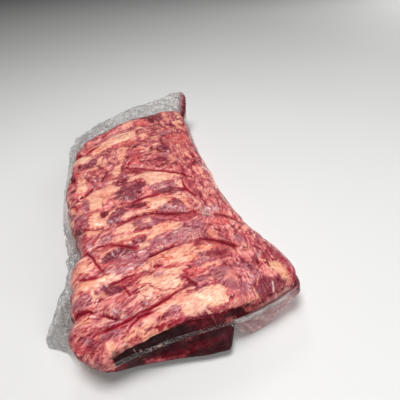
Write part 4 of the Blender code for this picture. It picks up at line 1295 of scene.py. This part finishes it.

# The dark tissue in each crease is blood and also painted shade of the crease.
CREASES = """
crimson 2.6 1.1 -80,-240 -65,-241 -45,-240 -28,-237 -12,-233 1,-228 14,-222
crimson 1.8 0.9 -48,-251 -40,-244 -32,-241 -18,-240
wine 3.2 1.3 -100,-213 -92,-211 -84,-213 -76,-218
wine 2.6 1 -70,-223 -62,-229 -55,-236
crimson 2 1 -60,-190 -50,-190 -40,-187 -28,-186
crimson 1.6 0.8 18,-208 22,-214 26,-221 28,-226
crimson 2.2 1.2 -88,-90 -82,-94 -76,-97 -68,-99 -57,-99
wine 3 1.2 -44,-99 -38,-97 -30,-98 -22,-96
wine 3.8 1.8 -28,-98 -15,-93.5 -5,-93 4,-93 12,-97 24,-102 38,-106 48,-107
crimson 2.2 1.1 44,-107 52,-108 60,-110
crimson 2.4 1.3 -71,-131 -62,-131 -55,-132 -48,-135 -40,-139 -33,-143 -22,-151
wine 3.2 1.3 -15,-168 -8,-166 0,-164 10,-161.5 20,-159
wine 3 1.4 47,-157 55,-161 64,-165 70,-170 80,-178 90,-187
wine 2.8 1.3 78,-121 88,-126 95,-131 101,-136 106,-141 112,-146
crimson 1.6 1 -86,-131 -78,-140 -74,-148 -70,-158 -67,-165 -63,-173
crimson 2 1.1 -92,-172 -80,-175 -68,-176
crimson 2.4 1.3 43,-4 52,-9 60,-13 67,-21 70,-29
wine 2.4 1.4 -68,-4 -73,-13 -80,-20 -88,-27
crimson 1.8 1 -100,-37 -94,-41 -92,-52
crimson 2.4 1.2 -42,-58 -30,-60 -20,-61 -10,-60 0,-57 12,-56.5 20,-52
crimson 1.6 1 38,-47 48,-50 56,-55 61,-62
crimson 1.6 1 60,-35 59,-46 60,-56 64,-67 70,-79
crimson 1 0.7 -46,-195 -42,-205 -38,-214
crimson 3 1.6 -19,37 -12,31 -4,27 4,23 12,17.5 20,12
crimson 3 1.5 16,14 28,5.5 36,1.5 43,-2 50,-7 58,-11
crimson 1.8 1.2 -98,42 -97,30 -94,19
crimson 2 1.2 -56,101 -48,107 -40,105 -35,97
crimson 1.8 1.2 -14,40 -10,44 -8,52
crimson 2 1.4 -94,116 -88,109 -80,110 -70,119 -60,129
crimson 1.8 1.2 -48,164 -42,174 -35,186
crimson 1.6 1.2 42,78 45,70 51,65 58,61
"""

# Fans of pulled wrinkles in the film, drawn as painted glints and dark lines: where they meet, first and
# last direction in degrees, nearest and farthest reach in millimetres, how many.
PULLS = (
    (72, -121, 20, 340, 4, 24, 26),
    (-92, -214, -50, 50, 8, 46, 15),
    (-72, -236, -30, 60, 5, 36, 12),
    (-30, -237, -10, 70, 5, 34, 9),
    (-86, -131, -70, 50, 6, 38, 14),
    (-68, -176, -60, 30, 6, 34, 9),
    (-48, -158, -10, 110, 3, 26, 13),
    (48, -157, -60, 60, 6, 34, 10),
    (112, -146, 150, 260, 8, 40, 12),
    (92, -244, 70, 150, 8, 34, 8),
    (66, -30, 110, 250, 5, 36, 12),
    (-80, -20, -40, 50, 6, 30, 9),
    (58, -64, 100, 260, 5, 30, 9),
    (108, -64, 130, 230, 6, 30, 8),
    (-10, 34, -30, 120, 6, 34, 9),
    (-90, 42, -60, 40, 6, 30, 8),
    (-50, 102, -20, 90, 6, 32, 8),
    (70, 60, 60, 300, 6, 34, 12),
    (-42, 166, -30, 100, 6, 36, 9),
    (50, 160, 30, 200, 8, 44, 10),
    (20, 236, 190, 330, 6, 40, 9),
    (104, 236, 180, 280, 8, 46, 9),
)

# Threads: how many, half their length and half their width in millimetres, tissues, seed. The gleam
# threads are painted glints of the film.
THREADS = (
    (500, (1.5, 3.6), (0.5, 1.1), ["cream", "peach", "lean", "pink", "rose"], 5),
    (900, (1.5, 5.5), (0.35, 0.75), ["wine", "red", "wine", "violet", "rose"], 6),
    (260, (1.5, 5.0), (0.3, 0.6), ["gleam", "cream", "gleam", "pink"], 7),
    (150, (6.0, 15.0), (0.5, 1.0), ["peach", "cream", "rose", "red", "pink"], 9),
    (660, (2.0, 8.0), (0.35, 0.75), ["wine", "dark", "crimson"], 10),
)


# --- materials ------------------------------------------------------------------------------------------

# What the fibres, veins and strands of fat do to the paint under them.
DEEP_TINT = (0.54, 0.2, 0.27, 1)
PALE_TINT = (1.3, 1.95, 1.8, 1)
VEIN_TINT = (0.72, 0.19, 0.29, 1)
STRAND_TINT = (0.88, 0.44, 0.33, 1)
# Stretched noises, in lumps a metre along each axis: where the grain lies across the ribs, and in the column.
FIBRES = ((130, 620, 500), (560, 170, 500))
VEINS = ((46, 250, 200), (240, 70, 200))
STRANDS = ((95, 330, 300), (320, 120, 300))
FILM_WAVES = ((45, 150, 120), (140, 60, 120))
FILM_LINES = ((60, 130, 120), (110, 70, 120))
# Ramps: two values of a noise, of the paint's fatness or of an attribute, and the strength at each.
VEINS_BY_PLACE = (0.42, 0.6, 0.0, 1.0)
VEINS_BY_FAT = (0.2, 0.55, 1.0, 0.45)
STRANDS_BY_PLACE = (0.45, 0.62, 0.0, 1.0)
STRANDS_BY_FAT = (0.02, 0.12, 0.0, 0.7)
GRAIN_BY_FAT = (0.12, 0.42, 1.0, 0.34)
DEEP_BY_FIBRE = (0.36, 0.5, 1.0, 0.0)
PALE_BY_FIBRE = (0.5, 0.66, 0.0, 0.8)
ROUGHNESS_BY_PLACE = (0.3, 0.7, 0.36, 0.6)
SHINE_BY_BRIDGED = (0.0, 1.0, 0.85, 0.06)
# How far the noises wander, and how far the tissue and the film over it stand up, in metres.
WANDER = 0.011
TISSUE_RELIEF = 0.0005
CLING_RELIEF = 0.0019

# The loose film: what passes through a taut sheet, a slack one and beside a fold, where it is darkened as
# painted shade, juice, and the white of a crumple, which also serves for the highlights and light painted
# on the film.
FILM_CLEAR = (0.93, 0.925, 0.915, 1)
FILM_SLACK = (0.965, 0.965, 0.96, 1)
FILM_SHADE = (0.66, 0.67, 0.67, 1)
FILM_PINK = (0.72, 0.33, 0.35, 1)
FILM_BLOOD = (0.32, 0.02, 0.045, 1)
FILM_MILK = (0.93, 0.91, 0.9, 1)
# The facets that a crumple breaks into: along the rim and across the margin, and their relief, in metres.
FACET_LENGTH = 0.03
FACET_WIDTH = 0.011
FACET_RELIEF = 0.016
# Ramps again: by the distance from a facet's edge, by place, by how the sheet is turned, slack or stained.
FOLD_BY_EDGE = (0.0, 0.03, 1.0, 0.0)
SHADE_BY_EDGE = (0.02, 0.16, 1.0, 0.0)
FOLD_HIGHLIGHT_AND_SHADE_BY_PLACE = (0.42, 0.6, 0.0, 1.0)
SHINE_BY_TURN = (0.0, 1.0, 0.05, 0.6)
SHINE_BY_SLACK = (0.0, 1.0, 0.3, 1.0)
PINK_BY_BLOOD = (0.0, 0.5, 0.0, 1.0)
RED_BY_BLOOD = (0.5, 1.0, 0.0, 1.0)
# The white of a fold in slack film, a painted highlight, and the share of light that passes through a
# crumple's white.
FOLD_WHITE = 0.75
MILK_PASSES = 0.4


def new_material(name):
    material = bpy.data.materials.new(name)
    material.use_nodes = True
    tree = material.node_tree
    tree.nodes.clear()
    return material, tree


def add(tree, kind, **settings):
    """A shader node. Settings named like a socket go to it, as a value or as a link from another socket.

    A socket may also be named by its number: i0 is the first one.
    """
    node = tree.nodes.new(kind)
    for name, value in settings.items():
        if hasattr(node, name):
            setattr(node, name, value)
            continue
        numbered = name[0] == "i" and name[1:].isdigit()
        socket = node.inputs[int(name[1:]) if numbered else name.replace("_", " ")]
        if isinstance(value, bpy.types.NodeSocket):
            tree.links.new(value, socket)
        else:
            socket.default_value = value
    return node


def attribute(tree, name, output="Fac"):
    return add(tree, "ShaderNodeAttribute", attribute_name=name).outputs[output]


def noise_node(tree, where, scale, detail=3.0, output="Fac"):
    return add(tree, "ShaderNodeTexNoise", Vector=where, Scale=scale, Detail=detail).outputs[output]


def ranged(tree, value, low, high, new_low, new_high):
    """A value between low and high, turned into one between the two new ones."""
    return add(
        tree, "ShaderNodeMapRange", Value=value, From_Min=low, From_Max=high, To_Min=new_low, To_Max=new_high
    ).outputs["Result"]


def combined(tree, operation, first, second):
    """Two values made into one by an operation of arithmetic."""
    return add(tree, "ShaderNodeMath", operation=operation, i0=first, i1=second).outputs[0]


def product(tree, first, second):
    return combined(tree, "MULTIPLY", first, second)


def moved(tree, where, drift, reach):
    """A place moved along a drift."""
    swing = add(tree, "ShaderNodeVectorMath", operation="SCALE", i0=drift, Scale=reach).outputs[0]
    return add(tree, "ShaderNodeVectorMath", operation="ADD", i0=where, i1=swing).outputs[0]


def bumped(tree, height, depth, strength=1.0):
    """The surface as if it stood up by a height from 0 to 1, times a depth in metres."""
    return add(
        tree, "ShaderNodeBump", Strength=strength, Distance=depth, Height=height
    ).outputs["Normal"]


def thin_lines(tree, value, width):
    """A mask that is 1 on the thin lines where a noise passes through its middle, 0 away from them."""
    apart = combined(tree, "SUBTRACT", value, 0.5)
    size = add(tree, "ShaderNodeMath", operation="ABSOLUTE", i0=apart).outputs[0]
    return ranged(tree, size, 0.3 * width, width, 1.0, 0.0)


def mixed_color(tree, amount, first, second, blend="MIX"):
    return add(
        tree, "ShaderNodeMix", data_type="RGBA", blend_type=blend, Factor=amount, i6=first, i7=second
    ).outputs[2]


def grained_noise(tree, where, ribs, column, detail):
    """A stretched noise: its grain lies across the ribs, and lengthwise in the right column."""
    side = add(tree, "ShaderNodeSeparateXYZ", Vector=where).outputs["X"]
    first, last = COLUMN_FROM
    in_column = ranged(tree, side, first * MM, last * MM, 0.0, 1.0)
    turned = add(
        tree, "ShaderNodeMapping", vector_type="TEXTURE", Vector=where, Rotation=(0, 0, GRAIN_SLANT),
        Scale=tuple(1 / lumps for lumps in ribs),
    ).outputs["Vector"]
    lengthwise = add(tree, "ShaderNodeMapping", Vector=where, Scale=column).outputs["Vector"]
    place = add(
        tree, "ShaderNodeMix", data_type="VECTOR", Factor=in_column, i4=turned, i5=lengthwise
    ).outputs[1]
    return noise_node(tree, place, 1.0, detail)


def meat_color(tree, flat, where, fibres):
    """The paint with its finer grain: dark and pale fibres, veins of lean and strands of fat."""
    paint = attribute(tree, "paint", "Color")
    fatness = add(tree, "ShaderNodeSeparateColor", Color=paint).outputs["Green"]
    vein_rich = ranged(tree, noise_node(tree, flat, 55.0, 2.0), *VEINS_BY_PLACE)
    vein_rich = product(tree, vein_rich, ranged(tree, fatness, *VEINS_BY_FAT))
    veins = product(tree, thin_lines(tree, grained_noise(tree, where, *VEINS, 3.0), 0.05), vein_rich)
    strand_rich = ranged(tree, noise_node(tree, flat, 38.0, 2.0), *STRANDS_BY_PLACE)
    strands = product(tree, thin_lines(tree, grained_noise(tree, where, *STRANDS, 2.0), 0.04), strand_rich)
    strands = product(tree, strands, ranged(tree, fatness, *STRANDS_BY_FAT))
    leanness = ranged(tree, fatness, *GRAIN_BY_FAT)
    deep = product(tree, ranged(tree, fibres, *DEEP_BY_FIBRE), leanness)
    pale = product(tree, ranged(tree, fibres, *PALE_BY_FIBRE), leanness)
    color = mixed_color(tree, deep, paint, DEEP_TINT, "MULTIPLY")
    color = mixed_color(tree, pale, color, PALE_TINT, "MULTIPLY")
    color = mixed_color(tree, veins, color, VEIN_TINT, "MULTIPLY")
    return mixed_color(tree, strands, color, STRAND_TINT)


def cling_normal(tree, where):
    """The clinging film's own small wrinkles: waves, and thin tucks across them."""
    waves = grained_noise(tree, where, *FILM_WAVES, 5.0)
    lines = grained_noise(tree, where, *FILM_LINES, 2.0)
    tucks = product(tree, thin_lines(tree, lines, 0.16), 0.5)
    return bumped(tree, combined(tree, "ADD", waves, tucks), CLING_RELIEF)


def meat_material():
    """Painted marbling with finer veins in it, wet, under a clinging film whose own small wrinkles shine."""
    material, tree = new_material("meat_under_film")
    flat = add(tree, "ShaderNodeTexCoord").outputs["Object"]
    drift = noise_node(tree, flat, 70.0, 2.0, "Color")
    off = add(tree, "ShaderNodeVectorMath", operation="SUBTRACT", i0=drift, i1=(0.5, 0.5, 0.5)).outputs[0]
    where = moved(tree, flat, off, WANDER)
    fibres = grained_noise(tree, where, *FIBRES, 4.0)
    shader = add(
        tree, "ShaderNodeBsdfPrincipled",
        Base_Color=meat_color(tree, flat, where, fibres),
        Roughness=ranged(tree, noise_node(tree, flat, 120.0), *ROUGHNESS_BY_PLACE),
        Normal=bumped(tree, fibres, TISSUE_RELIEF, 0.6),
        Specular_IOR_Level=0.08,
        Coat_Weight=ranged(tree, attribute(tree, "bridged"), *SHINE_BY_BRIDGED),
        Coat_Roughness=0.06,
        Coat_Normal=cling_normal(tree, where),
        Coat_IOR=1.4,
    )
    add(tree, "ShaderNodeOutputMaterial", Surface=shader.outputs["BSDF"])
    return material


def crumpled(tree):
    """The distance from a facet's edge, where folds take a painted white highlight and painted shade
    beside it, and the crumpled surface.
    """
    run, out = attribute(tree, "run"), attribute(tree, "out")
    where = add(tree, "ShaderNodeCombineXYZ", X=run, Y=out).outputs["Vector"]
    bent = moved(tree, where, noise_node(tree, where, 3.0, 2.0, "Color"), 0.6)
    edge = add(
        tree, "ShaderNodeTexVoronoi", feature="DISTANCE_TO_EDGE", Vector=bent, Scale=1.0
    ).outputs["Distance"]
    fold_highlight_and_shade = ranged(tree, noise_node(tree, where, 0.9, 1.0), *FOLD_HIGHLIGHT_AND_SHADE_BY_PLACE)
    waves = noise_node(tree, bent, 0.9, 1.5)
    return edge, fold_highlight_and_shade, bumped(tree, combined(tree, "ADD", edge, waves), FACET_RELIEF)


def stained(tree, blood, color):
    """A colour of the film that juice turns pink, and then red."""
    pink = mixed_color(tree, ranged(tree, blood, *PINK_BY_BLOOD), color, FILM_PINK)
    return mixed_color(tree, ranged(tree, blood, *RED_BY_BLOOD), pink, FILM_BLOOD)


def film_material():
    """Clear film: seen through, shining where it turns away, milky where it is crumpled, pink with juice."""
    material, tree = new_material("clear_film_sheet")
    milky_and_painted_light, blood, slack = [attribute(tree, name) for name in ("milky_and_painted_light", "blood", "slack")]
    edge, fold_highlight_and_shade, normal = crumpled(tree)

    # Beside folds the film is darkened as painted shade.
    beside_fold = product(tree, ranged(tree, edge, *SHADE_BY_EDGE), product(tree, fold_highlight_and_shade, slack))
    color = mixed_color(tree, slack, FILM_CLEAR, FILM_SLACK)
    color = stained(tree, blood, mixed_color(tree, beside_fold, color, FILM_SHADE))
    clear = add(tree, "ShaderNodeBsdfTransparent", Color=color).outputs["BSDF"]
    shine = add(
        tree, "ShaderNodeBsdfGlossy", Color=(1, 1, 1, 1), Roughness=0.08, Normal=normal
    ).outputs["BSDF"]
    turned = add(tree, "ShaderNodeFresnel", IOR=1.45, Normal=normal).outputs["Fac"]
    turned = product(tree, ranged(tree, turned, *SHINE_BY_TURN), ranged(tree, slack, *SHINE_BY_SLACK))
    sheet = add(tree, "ShaderNodeMixShader", Fac=turned, i1=clear, i2=shine).outputs["Shader"]

    white = stained(tree, blood, FILM_MILK)
    matt = add(
        tree, "ShaderNodeBsdfPrincipled", Base_Color=white, Roughness=0.5, Normal=normal, Coat_Weight=1.0,
        Coat_Roughness=0.12,
    ).outputs["BSDF"]
    passed = add(tree, "ShaderNodeBsdfTranslucent", Color=white, Normal=normal).outputs["BSDF"]
    veil = add(tree, "ShaderNodeMixShader", Fac=MILK_PASSES, i1=matt, i2=passed).outputs["Shader"]

    # Folds are whitened as a painted highlight.
    fold = product(tree, ranged(tree, edge, *FOLD_BY_EDGE), fold_highlight_and_shade)
    folded = product(tree, fold, product(tree, slack, FOLD_WHITE))
    amount = combined(tree, "MAXIMUM", milky_and_painted_light, folded)
    mixed = add(tree, "ShaderNodeMixShader", Fac=amount, i1=sheet, i2=veil)
    add(tree, "ShaderNodeOutputMaterial", Surface=mixed.outputs["Shader"])
    return material


def floor_material():
    material, tree = new_material("pale_floor")
    cloud = noise_node(tree, add(tree, "ShaderNodeTexCoord").outputs["Object"], 3.0, 2.0)
    color = mixed_color(tree, cloud, FLOOR_DARKER, FLOOR_LIGHTER)
    shader = add(tree, "ShaderNodeBsdfPrincipled", Base_Color=color, Roughness=0.7)
    add(tree, "ShaderNodeOutputMaterial", Surface=shader.outputs["BSDF"])
    return material


# --- pieces ---------------------------------------------------------------------------------------------

# The heights in metres between which the relief sets in, and the strip beside the seam that it leaves out.
RELIEF_FROM = (0.004, 0.02)
SEAM_STRIP = 0.004
# How much less the film shines where it lies dull against steep walls: how dull, and where that sets in, by
# how far the surface faces up, and on the near wall in millimetres.
DULL_WALL = 0.97
STEEP_FROM = (0.65, 0.25)
NEAR_WALL_FROM = (-254, -257)
# The colour below the walls, and the least height of the eye above a place that it looks at.
UNDERSIDE = "lean"
EYE_LOWEST = 0.02


def furrow_depth(points):
    """How deep the broad furrows cut the surface at each of these points, in metres."""
    depth = np.zeros(len(points))
    for furrow, half_width, stops in FURROWS:
        rows = close_to(points[:, :2], np.array(stops), 3 * half_width)
        _, across, _ = beside(points[rows, :2], smooth_course(stops))
        depth[rows] = np.maximum(depth[rows], furrow * bump(across, 0, half_width))
    return depth * smooth_step(*FURROW_FADE, points[:, 2])


def broad_relief(places, points, on_wall):
    """Lumps, wrinkles and furrows in millimetres, and how strong any relief may be at each point."""
    x, y = places.T
    z = points[:, 2]
    fade = smooth_step(*RELIEF_FROM, z) * (1 - np.where(on_wall, bump(z, SEAM_HEIGHT, SEAM_STRIP), 0))
    lumps = 1.1 * noise(x / 24, y / 20, 501) + 0.45 * noise(x / 9, y / 7, 502)
    wrinkles = 0.3 * ridges(x / 12, y / 5, 503)
    return (lumps + wrinkles) * fade - furrow_depth(points) / MM, fade


def wobble(x, y, seed):
    """How far the edges of marks waver, in millimetres, in wide waves and in narrow ones."""
    return 1.1 * noise(x / 7, y / 7, seed) + 0.4 * noise(x / 2.5, y / 2.5, seed + 2)


def paint_slab(places):
    """The display colour, the relief in millimetres and where film bridges a crease, at places of the map."""
    x, y = places.T
    bent = places + np.stack([wobble(x, y, 1), wobble(x, y, 2)], 1)
    color = mottling(x, y)
    height = np.zeros(len(places))
    bridged = np.zeros(len(places))
    lay_patches(color, height, bent, PATCHES)
    lay_strokes(color, height, bent, STROKES)
    for threads in THREADS:
        lay_threads(color, height, bent, *threads)
    lay_pulls(color, height, places, PULLS)
    cut_creases(color, height, bridged, places, CREASES)
    return np.clip(color, 0, 255) / 255, height, bridged


def seen_places(places, points, normals, raised):
    """The places on the map moved to where each point shows once the relief has raised or sunk it."""
    towards = np.array(CAMERA_PLACE) - points
    slope = towards[:, :2] / np.maximum(towards[:, 2:], EYE_LOWEST)
    level = np.clip(normals[:, 2], 0, 1)[:, None] ** 2
    return places - slope * raised[:, None] * level


def build_meat(grid, rim, normal, rings):
    """The slab: its form pushed out by the relief, with the paint and the film's dullness as attributes."""
    below = underside_rings(rings[-1])
    rows, columns = grid.shape[:2]
    points = np.concatenate([grid.reshape(-1, 3), *rings, *below])
    piece = new_object("sirloin_meat", points, slab_faces(rows, columns, len(rings) + len(below)))
    mesh = piece.data
    places = map_of(grid, rim, normal, rings)
    count = len(places)
    points = points[:count]
    normals = normals_of(mesh)
    hidden = len(normals) - count

    broad, fade = broad_relief(places, points, np.arange(count) >= rows * columns)
    seen = seen_places(places, points, normals[:count], broad)
    color, height, bridged = paint_slab(seen)
    bridged = np.maximum(bridged, DULL_WALL * smooth_step(*STEEP_FROM, normals[:count, 2]))
    bridged = np.maximum(bridged, DULL_WALL * smooth_step(*NEAR_WALL_FROM, places[:, 1]))
    under = np.array(TISSUES[UNDERSIDE][0]) / 255
    push_out(mesh, np.concatenate([(broad + height * fade) * MM, np.zeros(hidden)]))
    add_attribute(mesh, "paint", linear(np.concatenate([color, np.tile(under, (hidden, 1))])))
    add_attribute(mesh, "bridged", np.concatenate([bridged, np.zeros(hidden)]))
    mesh.materials.append(meat_material())
    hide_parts("sirloin")
    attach(piece, "root")


# The loose film's folds, in millimetres: how high the long and the short ones stand, how far they sway,
# how far the two sheets part between them, and how far the curtain stands out.
LONG_FOLDS = 2.2
SHORT_FOLDS = 0.9
FOLD_SWAY = 1.2
FOLD_PARTS = 0.7
CURTAIN_SWAY = 0.9
# Where a fold is high enough to take a painted white highlight, in the crumpled margin and in the curtain.
CREASED_FROM = (0.62, 1.0)
RIBS_FROM = (0.2, 0.95)
# The gap between the sheets at the rim, and how much wider it is at the seam.
RIM_GAP = 0.0002
SEAM_GAP = 0.0006
# The least height of the upper and of the lower sheet, and the least width of the margin.
UPPER_LOWEST = 0.0012
LOWER_LOWEST = 0.0004
MARGIN_NARROWEST = 0.002
# How the rim's height is reached from the seam's: the power of a fall, and of a rise.
FALL_BEND = 2
RISE_BEND = 1.3
# How white each kind of film is: at its smoothest, in folds, in the curtain and its folds, and at the rim.
# The white of folds and rim is a painted highlight, that of the curtain painted light that shows through
# it, and the weld's whitest line a painted highlight too.
CLEAR_WHITE = 0.01
FOLDS_WHITE = 0.5
CORNER_WHITE = 0.35
CURTAIN_WHITE = 0.3
CURTAIN_FOLDS_WHITE = 0.5
RIM_WHITE = 0.3
POOL_WHITE = 0.6
WHITEST = 0.97
# How juice stains the curtain, and in spots, and how much less it does so on the weld.
CURTAIN_BLOOD = 0.16
SPOTS_BLOOD = 0.24
SEAL_CLEANER = 0.7


def curtain_folds(place, run, share):
    """Where the curtain hangs, and how far the folds stand that spread over it from its left end."""
    hangs = smooth_step(*CURTAIN_FROM, place) * smooth_step(*CURTAIN_TO, place)
    from_end = run - np.interp(CURTAIN_FROM[0], place, run) + 5
    spread = np.arctan2(CURTAIN_DROP * share, np.maximum(from_end, 1))
    return hangs, ridges(spread * 11 + 0.3, run / 70, 615, 2.4)


def loose_folds(run, out):
    """The long folds, the short ones and the fine streaks of the crumpled film, each 1 along its tops."""
    drift = 5 * noise(run / 22, out / 16, 607)
    long_folds = ridges((run + 0.5 * out + drift) / 13, (out - 0.3 * run) / 19, 603, 2.2)
    short_folds = ridges((run - 0.7 * out) / 5 + drift, (out + 0.4 * run) / 8, 604)
    return long_folds, short_folds, ridges(run / 16 + drift, (out + drift) / 2.4, 611, 2.4)


def sealed(place):
    """Where on the way round the film is welded."""
    begins = smooth_step(SEAL_FROM - SEAL_FADE, SEAL_FROM, place)
    return begins * smooth_step(SEAL_TO + SEAL_FADE, SEAL_TO, place)


def film_sheets(seam, normal, place, run, reach, rise, loose):
    """Rows of the upper and the lower sheet from the seam to the rim, and how sharply each place folds."""
    upper, lower, folding = [], [], []
    for share in np.linspace(0, 1, MARGIN_STEPS):
        out = reach * share / MM
        long_folds, short_folds, streaks = loose_folds(run, out)
        hangs, ribs = curtain_folds(place, run, share)
        free = MM * loose * np.sin(np.pi * min(share, 0.9))
        both = free * (LONG_FOLDS * long_folds + SHORT_FOLDS * short_folds)
        sway = free * FOLD_SWAY * noise(run / 9, out / 9, 608)
        sway = sway + hangs * MM * (CURTAIN_SWAY + ribs) * np.sin(np.pi * min(share + 0.1, 1.0))
        bead = SEAL_STANDS * bump(share, *SEAL_BEAD) * sealed(place)
        plan = seam[:, :2] + normal * (MARGIN_GAP + reach * share + sway + bead)[:, None]
        bend = np.where(rise < SEAM_HEIGHT, share ** FALL_BEND, share ** RISE_BEND)
        middle = SEAM_HEIGHT + (rise - SEAM_HEIGHT) * bend
        parted = np.abs(free * FOLD_PARTS * noise(run / 5, out / 6, 605))
        apart = RIM_GAP + SEAM_GAP * (1 - share) * (share > 0) + parted
        upper.append(np.column_stack([plan, np.maximum(middle + both + apart + bead, UPPER_LOWEST)]))
        lower.append(np.column_stack([plan, np.maximum(middle + both - apart, LOWER_LOWEST)]))
        creased = smooth_step(*CREASED_FROM, np.maximum(streaks, short_folds - 0.15))
        folding.append(np.maximum(creased * (1 - hangs), smooth_step(*RIBS_FROM, ribs) * hangs))
    return upper, lower, folding


def film_looks(place, run, loose, folding):
    """How white each row of the film is, milky and with painted highlights and light, and how stained with
    juice.
    """
    milky_and_painted_light, blood = [], []
    whitish = bump(place, *WHITISH_CORNER)
    in_curtain, _ = curtain_folds(place, run, 0.0)
    pools = sum(bump(place, middle, reach) for middle, reach in BLOOD_POOLS)
    for share, folds in zip(np.linspace(0, 1, MARGIN_STEPS), folding):
        # The white of the weld, the rim and the folds is a painted highlight, and the curtain's white painted
        # light.
        seal = sealed(place) * (SEAL_SHARES[0] < share < SEAL_SHARES[1])
        rim = (RIM_WHITE * loose + RIM_WHITE * in_curtain) * smooth_step(0.9, 1.0, share)
        base = CLEAR_WHITE + FOLDS_WHITE * loose * folds + CORNER_WHITE * whitish * folds
        base = base + (CURTAIN_WHITE + CURTAIN_FOLDS_WHITE * folds) * in_curtain + rim
        milky_and_painted_light.append(np.clip(np.maximum(base, WHITEST * seal) + POOL_WHITE * pools, 0, WHITEST))
        spots = smooth_step(-0.35, 0.6, noise(run / 6, 14 * share + 0 * run, 609))
        stain = (CURTAIN_BLOOD + SPOTS_BLOOD * spots) * in_curtain * (1 - SEAL_CLEANER * seal)
        blood.append(np.clip(stain + pools, 0, 1))
    return milky_and_painted_light, blood


def loop_faces(row_count, count):
    """The faces between closed rows of as many points, where the last row meets the first."""
    return [
        (a * count + k, b * count + k, b * count + (k + 1) % count, a * count + (k + 1) % count)
        for a, b in zip(range(row_count), [*range(1, row_count), 0])
        for k in range(count)
    ]


def build_film(seam, normal, place):
    """The loose margin: an upper and a lower sheet of film, crumpled apart, that meet at the rim."""
    reach = smooth_curve([(p, w) for p, w, _ in MARGIN], place)
    rise = smooth_curve([(p, h) for p, _, h in MARGIN], place)
    loose = smooth_step(*LOOSE_FROM, reach)
    step = np.linalg.norm(np.diff(seam[:, :2], axis=0, append=seam[:1, :2]), axis=1)
    run = np.concatenate([[0], np.cumsum(step)[:-1]]) / MM
    rim_wave = 1.5 * noise(run / 11, 0 * run, 601) + 0.9 * noise(run / 4, 0 * run, 602)
    reach = np.maximum(reach + MM * loose * rim_wave, MARGIN_NARROWEST)
    rise = np.maximum(rise + MM * loose * rim_wave, RIM_LOWEST)
    upper, lower, folding = film_sheets(seam, normal, place, run, reach, rise, loose)
    milky_and_painted_light, blood = film_looks(place, run, loose, folding)
    section = upper + lower[:0:-1]
    shares = np.linspace(0, 1, MARGIN_STEPS)
    outs = [(reach + np.abs(SEAM_HEIGHT - rise)) * share for share in [*shares, *shares[:0:-1]]]
    piece = new_object("bag_film", np.concatenate(section), loop_faces(len(section), len(seam)))
    add_attribute(piece.data, "milky_and_painted_light", np.concatenate(milky_and_painted_light + milky_and_painted_light[:0:-1]))
    add_attribute(piece.data, "blood", np.concatenate(blood + blood[:0:-1]))
    add_attribute(piece.data, "slack", np.tile(loose, len(section)))
    add_attribute(piece.data, "run", np.tile(run * MM / FACET_LENGTH, len(section)))
    add_attribute(piece.data, "out", np.concatenate(outs) / FACET_WIDTH)
    piece.data.materials.append(film_material())
    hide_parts("vacuum_bag")
    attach(piece, "root")


# --- stage ----------------------------------------------------------------------------------------------

CAMERA_PLACE = (-0.01388, -0.41877, 0.333)
CAMERA_YAW = 14.4
CAMERA_DIP = 38.4
CAMERA_ROLL = -3.9
CAMERA_LENS = 28.8
CAMERA_SENSOR = 36
CAMERA_NEAREST = 0.01
FLOOR_REACH = 8.0
FLOOR_DARKER = (0.74, 0.74, 0.73, 1)
FLOOR_LIGHTER = (0.78, 0.78, 0.77, 1)
WORLD_GREY = 0.06
# Softboxes: place, the point each faces, side in metres, power in watts.
LIGHTS = {
    "overhead": ((-0.1, -0.15, 1.4), (0.0, 0.0, 0.03), 0.55, 16.2),
    "right": ((2.2, 1.1, 0.97), (0.05, 0.0, 0.03), 1.4, 15.6),
    "far": ((0.28, 2.3, 2.95), (0.0, 0.1, 0.05), 0.8, 15.6),
    "front": ((0.45, -1.25, 0.5), (0.08, -0.25, 0.02), 0.8, 8.0),
}


def aim(place, direction, roll=0.0):
    """The matrix of something at a place that looks along a direction, with its top up."""
    forward = np.array(direction, float) / np.linalg.norm(direction)
    level = np.cross(forward, (0, 0, 1))
    level = level / np.linalg.norm(level)
    top = np.cross(level, forward)
    turn = np.radians(roll)
    right = np.cos(turn) * level + np.sin(turn) * top
    up = np.cos(turn) * top - np.sin(turn) * level
    matrix = np.identity(4)
    matrix[:3] = np.column_stack([right, up, -forward, place])
    return Matrix(matrix.tolist())


def add_camera():
    camera = bpy.data.objects.new("camera", bpy.data.cameras.new("camera"))
    camera.data.lens = CAMERA_LENS
    camera.data.sensor_width = CAMERA_SENSOR
    camera.data.clip_start = CAMERA_NEAREST
    yaw, dip = np.radians(CAMERA_YAW), np.radians(CAMERA_DIP)
    direction = (np.cos(dip) * np.sin(yaw), np.cos(dip) * np.cos(yaw), -np.sin(dip))
    camera.matrix_world = aim(CAMERA_PLACE, direction, CAMERA_ROLL)
    bpy.context.scene.collection.objects.link(camera)
    bpy.context.scene.camera = camera


def add_light(name, place, target, side, power):
    light = bpy.data.lights.new(name, "AREA")
    light.size = side
    light.energy = power
    lamp = bpy.data.objects.new(name, light)
    lamp.matrix_world = aim(place, np.subtract(target, place))
    bpy.context.scene.collection.objects.link(lamp)


def add_stage():
    corners = [(-1, -1), (1, -1), (1, 1), (-1, 1)]
    floor = new_object("floor", [(FLOOR_REACH * a, FLOOR_REACH * b, 0.0) for a, b in corners], [(0, 1, 2, 3)])
    floor.data.materials.append(floor_material())
    world = bpy.data.worlds.new("world")
    world.use_nodes = True
    world.node_tree.nodes["Background"].inputs["Color"].default_value = (WORLD_GREY,) * 3 + (1,)
    bpy.context.scene.world = world
    bpy.context.scene.view_settings.view_transform = "Standard"


def main():
    grid = top_grid()
    rim = rim_of(grid)
    normal = outward(rim)
    rings = wall_rings(rim, normal)
    build_meat(grid, rim, normal, rings)
    build_film(rings[UPPER_RINGS - 1], normal, way_round(grid))
    add_camera()
    for name, (place, target, side, power) in LIGHTS.items():
        add_light(name, place, target, side, power)
    add_stage()


main()
